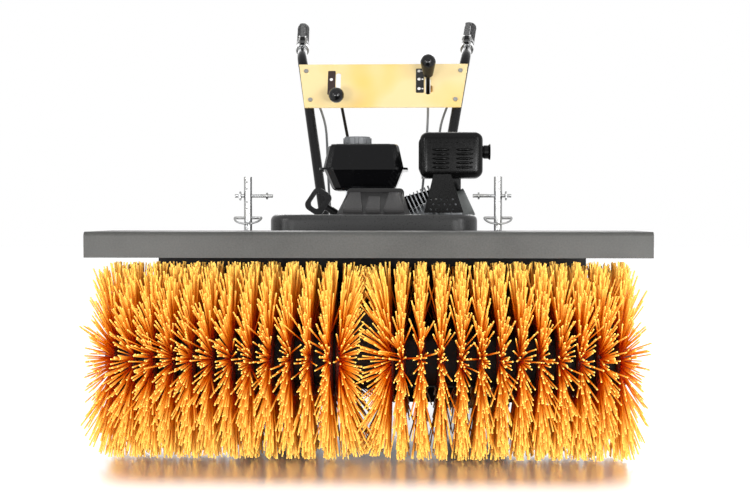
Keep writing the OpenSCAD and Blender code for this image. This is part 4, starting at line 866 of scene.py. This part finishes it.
class SWEEPER_OT_cover(bpy.types.Operator):
    """Form the belt guard and mould the ridged cover on top of it"""

    bl_idname = "sweeper.cover"
    bl_label = "Belt guard and cover"

    def execute(self, context):
        satin = bpy.data.materials["satin charcoal powder coat"]
        piece("guard_tray", belt_guard(), satin, "chassis", "guard_paint", "belt_guard")
        grained = bpy.data.materials["grained charcoal polypropylene"]
        dark = shade(context.scene.sweeper_colours.cover[:], 0.45)
        smooth_dark = moulded("smooth charcoal polypropylene", dark, 0.4, bump=0.1, specular=0.2)
        base, pads = ridged_cover()
        piece("cover_shell", base, smooth_dark, "chassis", "cover_plastic", "ridged_cover")
        piece("cover_pads", pads, grained, "chassis", "cover_plastic")
        return {"FINISHED"}


# Handle


GRIP_BEND = (215, 1001, 849)
GRIP_END = (241, 1300, 973)
GRIP_FROM = 150
GRIP_RIBS = 22
GRIP_COLLAR = 17
GRIP_GROOVE = 15.6
GRIP_RIB = 16.7
TUBE_SEAT = 13.1
BRACKET = (108, 148)
BRACKET_RADIUS = 17
STUD_SEAT = 16.4
BRACKET_STUDS = (
    # along the handle, across it, radius
    (141, 0, 4.6),
    (124, -8, 3.2),
    (122, 0, 3.2),
    (124, 8, 3.2),
)


def handle_frame(side):
    """Place of a handle's straight upper tube, Z along it from its bend, and how long it is."""
    start = at(side * GRIP_BEND[0], *GRIP_BEND[1:])
    along = at(side * GRIP_END[0], *GRIP_END[1:]) - start
    return Matrix.Translation(start) @ along.to_track_quat("Z", "Y").to_matrix().to_4x4(), along.length / MM


def ribbed_grip(bm, side):
    """A rubber sleeve with fine rings and a closed end."""
    place, far = handle_frame(side)
    pitch = (far - GRIP_FROM - 12) / GRIP_RIBS
    outline = [
        (TUBE_SEAT, GRIP_FROM), (GRIP_COLLAR - 0.4, GRIP_FROM),
        (GRIP_COLLAR, GRIP_FROM + 1), (GRIP_COLLAR, GRIP_FROM + 5)]
    for rib in range(GRIP_RIBS):
        foot = GRIP_FROM + 6 + rib * pitch
        outline += [
            (GRIP_GROOVE, foot), (GRIP_GROOVE, foot + 0.3 * pitch),
            (GRIP_RIB, foot + 0.45 * pitch), (GRIP_RIB, foot + 0.9 * pitch)]
    outline += [(GRIP_COLLAR, far - 5), (GRIP_COLLAR, far - 1.5), (GRIP_COLLAR - 1.5, far), (0, far)]
    turned(bm, outline, place, steps=28)


def lever_bracket(bm, side):
    """The moulded bracket that carries a clutch lever under the grip."""
    place, _ = handle_frame(side)
    low, high = BRACKET
    outline = [
        (TUBE_SEAT, low), (BRACKET_RADIUS - 1.5, low), (BRACKET_RADIUS, low + 3),
        (BRACKET_RADIUS, high - 2), (BRACKET_RADIUS - 1, high), (TUBE_SEAT, high), (TUBE_SEAT, low)]
    turned(bm, outline, place, steps=32)


def bracket_studs(bm, side):
    """Bright studs on top of the bracket, and the plated collar below it."""
    place, _ = handle_frame(side)
    low = BRACKET[0]
    collar = [
        (TUBE_SEAT, low - 14), (15, low - 14), (16.2, low - 11), (16.2, low - 4), (TUBE_SEAT, low - 1)]
    turned(bm, collar, place, steps=32)
    for along, across, radius in BRACKET_STUDS:
        lean = Matrix.Rotation(math.asin(across / BRACKET_RADIUS), 4, "Z")
        seat = Matrix.Translation((0, STUD_SEAT * MM, along * MM)) @ Matrix.Rotation(-math.pi / 2, 4, "X")
        head = [(radius, 0), (radius, 2), (0.7 * radius, 3.4), (0, 3.8)]
        turned(bm, head, place @ lean @ seat, steps=16)


class SWEEPER_OT_grips(bpy.types.Operator):
    """Mould the two ribbed handle grips and the brackets below them"""

    bl_idname = "sweeper.grips"
    bl_label = "Grips"

    def execute(self, context):
        sleeves, brackets, studs = (bmesh.new() for _ in range(3))
        for side in SIDE_NAMES:
            ribbed_grip(sleeves, side)
            lever_bracket(brackets, side)
            bracket_studs(studs, side)
        finish = bpy.data.materials
        piece("lever_brackets", brackets, finish["moulded black nylon"], "chassis", "moulded_black")
        piece("bracket_studs", studs, finish["bright zinc plate"], "chassis", "zinc")
        piece("grip_sleeves", sleeves, finish["grip rubber"], "chassis", "rubber_black", "handle_grips")
        return {"FINISHED"}


# Control plates


PANEL_FRAME = Matrix.Translation(at(0, 926, 703)) @ Matrix.Rotation(math.radians(-27.19), 4, "X")
PANEL_FACE = -15.6
GEAR_PLATE = (-143, -123.5, 38, 111)
ANGLE_PLATE = (85, 105.5, 43, 117)
GEAR_DOTS = ((-134, 84),)
ANGLE_DOTS = ((93, 109), (93, 84), (93, 55))
ANGLE_TICKS = (109, 84, 55)
PLATE_THICK = 1.2
PLATE_CORNER = 2.5
MARK_RADIUS = 4.2
MARK_RISE = 1.4
# Left and right end of a tick, half its height, and how far its front and back stand off the panel
TICK = (99.5, 104.5, 1.6, 1.6, 1)
TICK_EDGE = 0.2
LEVER_STOP = (122.5, 127.5, 44, 62)
LEVER_STOP_DEEP = 5
LEVER_STOP_EDGE = 1.2
LEVER_PIVOT_Y = 30
ANGLE_LEVER_X = 116
ANGLE_LEVER_Z = 62
ANGLE_LEVER_REST = 18
ANGLE_LEVER_LENGTH = 108
KNOB_RISE = 4
KNOB_ARC = 105
KNOB_STEPS = 12
KNOB_NECK = ((14.2, -30), (12.8, -37), (10.5, -39), (5.2, -39))


def block(left, right, low, high, deep, radius, **rounding):
    """A plate or small block with round edges on the panel's face."""
    shape = rounded_box((left, PANEL_FACE - deep, low), (right, PANEL_FACE, high), radius, **rounding)
    return settle(shape, PANEL_FRAME)


def plate_marks():
    """Plain dots on both plates, and ticks on the angle lever's plate."""
    bm = bmesh.new()
    dome = [
        (MARK_RADIUS, 0), (MARK_RADIUS, 0.4 * MARK_RISE), (0.7 * MARK_RADIUS, MARK_RISE), (0, MARK_RISE)]
    for x, z in GEAR_DOTS + ANGLE_DOTS:
        foot = Vector((x, PANEL_FACE - PLATE_THICK, z)) * MM
        turned(bm, dome, Matrix.Translation(foot) @ Matrix.Rotation(math.pi / 2, 4, "X"), steps=20)
    left, right, half, front, back = TICK
    for z in ANGLE_TICKS:
        low = (left, PANEL_FACE - front, z - half)
        high = (right, PANEL_FACE - back, z + half)
        join(bm, rounded_box(low, high, TICK_EDGE, segments=1))
    return settle(bm, PANEL_FRAME)


def pear_knob():
    """The angle lever's knob: a ball that runs out into a broad neck."""
    low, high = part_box("gear_knob")
    ball = (high.x - low.x) / 2 / MM
    pivot = Vector((ANGLE_LEVER_X, LEVER_PIVOT_Y, ANGLE_LEVER_Z)) * MM
    place = (PANEL_FRAME @ Matrix.Translation(pivot)
             @ Matrix.Rotation(math.radians(-ANGLE_LEVER_REST), 4, "X")
             @ Matrix.Translation((0, -ANGLE_LEVER_LENGTH * MM, 0)) @ Matrix.Rotation(math.pi / 2, 4, "X"))
    outline = [(0, ball + KNOB_RISE)]
    for step in range(1, KNOB_STEPS + 1):
        turn = math.radians(KNOB_ARC) * step / KNOB_STEPS
        outline.append((ball * math.sin(turn), KNOB_RISE + ball * math.cos(turn)))
    outline += KNOB_NECK
    bm = bmesh.new()
    turned(bm, outline, place, steps=36)
    return bm


class SWEEPER_OT_controls(bpy.types.Operator):
    """Fix the two lever plates with their marks and the bronze stop to the panel, and turn the pear knob"""

    bl_idname = "sweeper.controls"
    bl_label = "Control plates"

    def execute(self, context):
        colours = context.scene.sweeper_colours
        phenolic = bpy.data.materials["polished phenolic"]
        piece("pear_knob", pear_knob(), phenolic, "angle_control", "knob_black", "angle_knob")
        gear = block(*GEAR_PLATE, PLATE_THICK, PLATE_CORNER, segments=3, axis=1)
        lacquer = printed_mark("red-brown lacquer", colours.gear_plate[:])
        piece("gear_plate", gear, lacquer, "chassis", "moulded_black")
        angle_side = block(*ANGLE_PLATE, PLATE_THICK, PLATE_CORNER, segments=3, axis=1)
        lacquer = printed_mark("black lacquer", colours.angle_plate[:])
        piece("angle_plate", angle_side, lacquer, "chassis", "moulded_black")
        stop = block(*LEVER_STOP, LEVER_STOP_DEEP, LEVER_STOP_EDGE)
        piece("lever_stop", stop, bpy.data.materials["cast bronze"], "chassis", "bronze")
        ink = printed_mark("white ink", colours.mark[:])
        piece("plate_marks", plate_marks(), ink, "chassis", "rim_white")
        return {"FINISHED"}


# Finishes on the construction's own pieces


def node_finishes():
    """Finishes of the nodes that share a slot with pieces of another make."""
    heat = powder_coat("heat-resistant black", linear("#050505"), 3, 0.3, bump=0.08, specular=0.14)
    fins = bare_metal("cast fins", "#9C9EA0", "#5C5E60", 0.4, 2.2)
    cover = powder_coat("grey engine enamel", linear("#5E6160"), 3, 0.4, specular=0.4)
    return {"heat_shield": heat, "muffler": heat, "cylinder_block": fins, "valve_cover": cover}


class SWEEPER_OT_finishes(bpy.types.Operator):
    """Give every construction piece the finish of its node, or else of its slot"""

    bl_idname = "sweeper.finishes"
    bl_label = "Finishes"

    def execute(self, context):
        by_slot = finishes(context.scene.sweeper_colours)
        by_node = node_finishes()
        for part in frame["record"]["subparts"]:
            node = frame["nodes"][part["node"]]
            for slot in node.material_slots:
                slot.material = by_node.get(part["node"], by_slot[part["material_slot"]])
        return {"FINISHED"}


# Studio


FLOOR_RADIUS = 14.0
SHADE_MIDDLE = (0, AXIS.y, 0)
SHADE_HALF = (0.34, 0.03, 0)
SOFTBOXES = (
    # name, place in metres from the brush axis, width, height, watts
    ("key_left", (-1.85, -0.95, 1.1), 0.2, 1.3, 15),
    ("fill_right", (1.65, -1.1, 1.1), 0.2, 1.3, 16),
    ("top", (0.1, -0.9, 2.6), 2.0, 0.8, 3),
    ("rear", (0.0, 3.0, 1.7), 2.4, 1.0, 30),
    ("front_left", (-1.0, -2.0, 0.3), 0.8, 0.45, 32),
    ("front_right", (1.15, -2.0, 0.3), 0.8, 0.45, 46),
)
LIGHT_AIM = at(0, 420, 330)
WORLD_LIGHT = 0.3
# Metres from the shaded box between which the floor goes from satin to plain white
SHADE_RAMP = (0.1, 0.23)
FLOOR_SHEEN = 0.8
FLOOR_LIFT = 0.5
SENSOR_WIDTH = 36


def seen_directly(tree):
    """A factor that is one where the camera, a mirror or a glass looks straight at a surface."""
    ray = add(tree, "LightPath")
    first = add(tree, "Math", {
        0: ray.outputs["Is Camera Ray"], 1: ray.outputs["Is Glossy Ray"]}, operation="MAXIMUM")
    both = add(tree, "Math", {
        0: first.outputs[0], 1: ray.outputs["Is Transmission Ray"]}, operation="MAXIMUM")
    return both.outputs[0]


def studio_floor(stage):
    """Pale painted floor: a soft satin sheen under the brush, and lifted to white away from it."""
    material, tree, shader, coords = blank("pale studio floor")
    scuff = add(tree, "TexNoise", {"Vector": coords, "Scale": per_mm(60), "Detail": 4.0})
    gloss = add(tree, "MapRange", {"Value": scuff.outputs["Fac"], "To Min": 0.26, "To Max": 0.36})
    tree.links.new(gloss.outputs[0], shader.inputs["Roughness"])
    shader.inputs["Base Color"].default_value = stage.floor[:]
    # Distance from a box under the brush
    beyond = add(tree, "VectorMath", {0: coords, 1: SHADE_MIDDLE}, operation="SUBTRACT")
    beyond = add(tree, "VectorMath", {0: beyond.outputs[0]}, operation="ABSOLUTE")
    beyond = add(tree, "VectorMath", {0: beyond.outputs[0], 1: SHADE_HALF}, operation="SUBTRACT")
    beyond = add(tree, "VectorMath", {0: beyond.outputs[0], 1: (0, 0, 0)}, operation="MAXIMUM")
    reach = add(tree, "VectorMath", {0: beyond.outputs[0]}, operation="LENGTH")
    open_floor = add(tree, "MapRange", {
        "Value": reach.outputs["Value"], "From Min": SHADE_RAMP[0], "From Max": SHADE_RAMP[1]},
        interpolation_type="SMOOTHSTEP")
    sheen = add(tree, "MapRange", {"Value": open_floor.outputs[0], "To Min": FLOOR_SHEEN, "To Max": 0.0})
    tree.links.new(sheen.outputs[0], shader.inputs["Metallic"])
    level = add(tree, "MapRange", {"Value": open_floor.outputs[0], "To Min": 0.0, "To Max": FLOOR_LIFT})
    lift = add(tree, "Emission", {"Strength": level.outputs[0]})
    both = add(tree, "AddShader", {0: shader.outputs[0], 1: lift.outputs[0]})
    choice = add(tree, "MixShader", {"Fac": seen_directly(tree), 1: shader.outputs[0], 2: both.outputs[0]})
    out = tree.nodes["Material Output"]
    tree.links.new(choice.outputs[0], out.inputs["Surface"])
    return material


def white_surroundings(scene):
    """White where it is seen, and an even soft light where it isn't."""
    scene.world = bpy.data.worlds.new("studio")
    scene.world.use_nodes = True
    tree = scene.world.node_tree
    level = add(tree, "MapRange", {"Value": seen_directly(tree), "To Min": WORLD_LIGHT, "To Max": 1.0})
    tree.links.new(level.outputs[0], tree.nodes["Background"].inputs["Strength"])
    tree.nodes["Background"].inputs["Color"].default_value = (1, 1, 1, 1)


def round_floor(stage):
    """A wide round floor."""
    bm = bmesh.new()
    bmesh.ops.create_circle(bm, cap_ends=True, segments=96, radius=FLOOR_RADIUS)
    mesh = bpy.data.meshes.new("floor")
    bm.to_mesh(mesh)
    bm.free()
    mesh.materials.append(studio_floor(stage))
    in_scene("floor", mesh)


def softbox(name, place, width, height, watts):
    """A rectangular lamp that looks at the middle of the machine."""
    lamp = bpy.data.lights.new(name, "AREA")
    lamp.shape = "RECTANGLE"
    lamp.size = width
    lamp.size_y = height
    lamp.energy = watts
    box = in_scene(name, lamp)
    box.location = Vector(place) + Vector((0, AXIS.y, 0))
    box.rotation_euler = (LIGHT_AIM - box.location).to_track_quat("-Z", "Y").to_euler()


def front_camera(stage):
    """The camera in front of the brush, a little to the right and turned to the left."""
    lens = bpy.data.cameras.new("camera")
    lens.lens = stage.lens
    lens.sensor_width = SENSOR_WIDTH
    camera = in_scene("camera", lens)
    camera.location = stage.camera
    camera.rotation_euler = (math.pi / 2 - stage.dip, 0, stage.turn)
    return camera


class SWEEPER_OT_stage(bpy.types.Operator):
    """Set the floor, the soft lights, the white surroundings and the camera"""

    bl_idname = "sweeper.stage"
    bl_label = "Stage"

    def execute(self, context):
        stage = context.scene.sweeper_stage
        context.scene.view_settings.view_transform = "Standard"
        round_floor(stage)
        for box in SOFTBOXES:
            softbox(*box)
        white_surroundings(context.scene)
        context.scene.camera = front_camera(stage)
        return {"FINISHED"}


# Panel and registration


STEPS = ("stage", "finishes", "bristles", "hood", "engine", "belt", "cover", "grips", "controls")


class SWEEPER_PT_panel(bpy.types.Panel):
    """Steps that dress the sweeper"""

    bl_idname = "SWEEPER_PT_panel"
    bl_label = "Sweeper"
    bl_space_type = "VIEW_3D"
    bl_region_type = "UI"
    bl_category = "Sweeper"

    def draw(self, context):
        for step in STEPS:
            self.layout.operator("sweeper." + step)


CLASSES = (
    SweeperBrush, SweeperColours, SweeperStage, SWEEPER_OT_stage, SWEEPER_OT_finishes, SWEEPER_OT_bristles,
    SWEEPER_OT_hood, SWEEPER_OT_engine, SWEEPER_OT_belt, SWEEPER_OT_cover, SWEEPER_OT_grips,
    SWEEPER_OT_controls, SWEEPER_PT_panel,
)
SETTINGS = {"sweeper_brush": SweeperBrush, "sweeper_colours": SweeperColours, "sweeper_stage": SweeperStage}


def register():
    for kind in CLASSES:
        bpy.utils.register_class(kind)
    for name, group in SETTINGS.items():
        setattr(bpy.types.Scene, name, bpy.props.PointerProperty(type=group))


def unregister():
    for name in SETTINGS:
        delattr(bpy.types.Scene, name)
    for kind in reversed(CLASSES):
        bpy.utils.unregister_class(kind)


def main():
    """Register the add-on and dress the sweeper step by step."""
    register()
    for step in STEPS:
        getattr(bpy.ops.sweeper, step)()


if __name__ == "__main__":
    main()
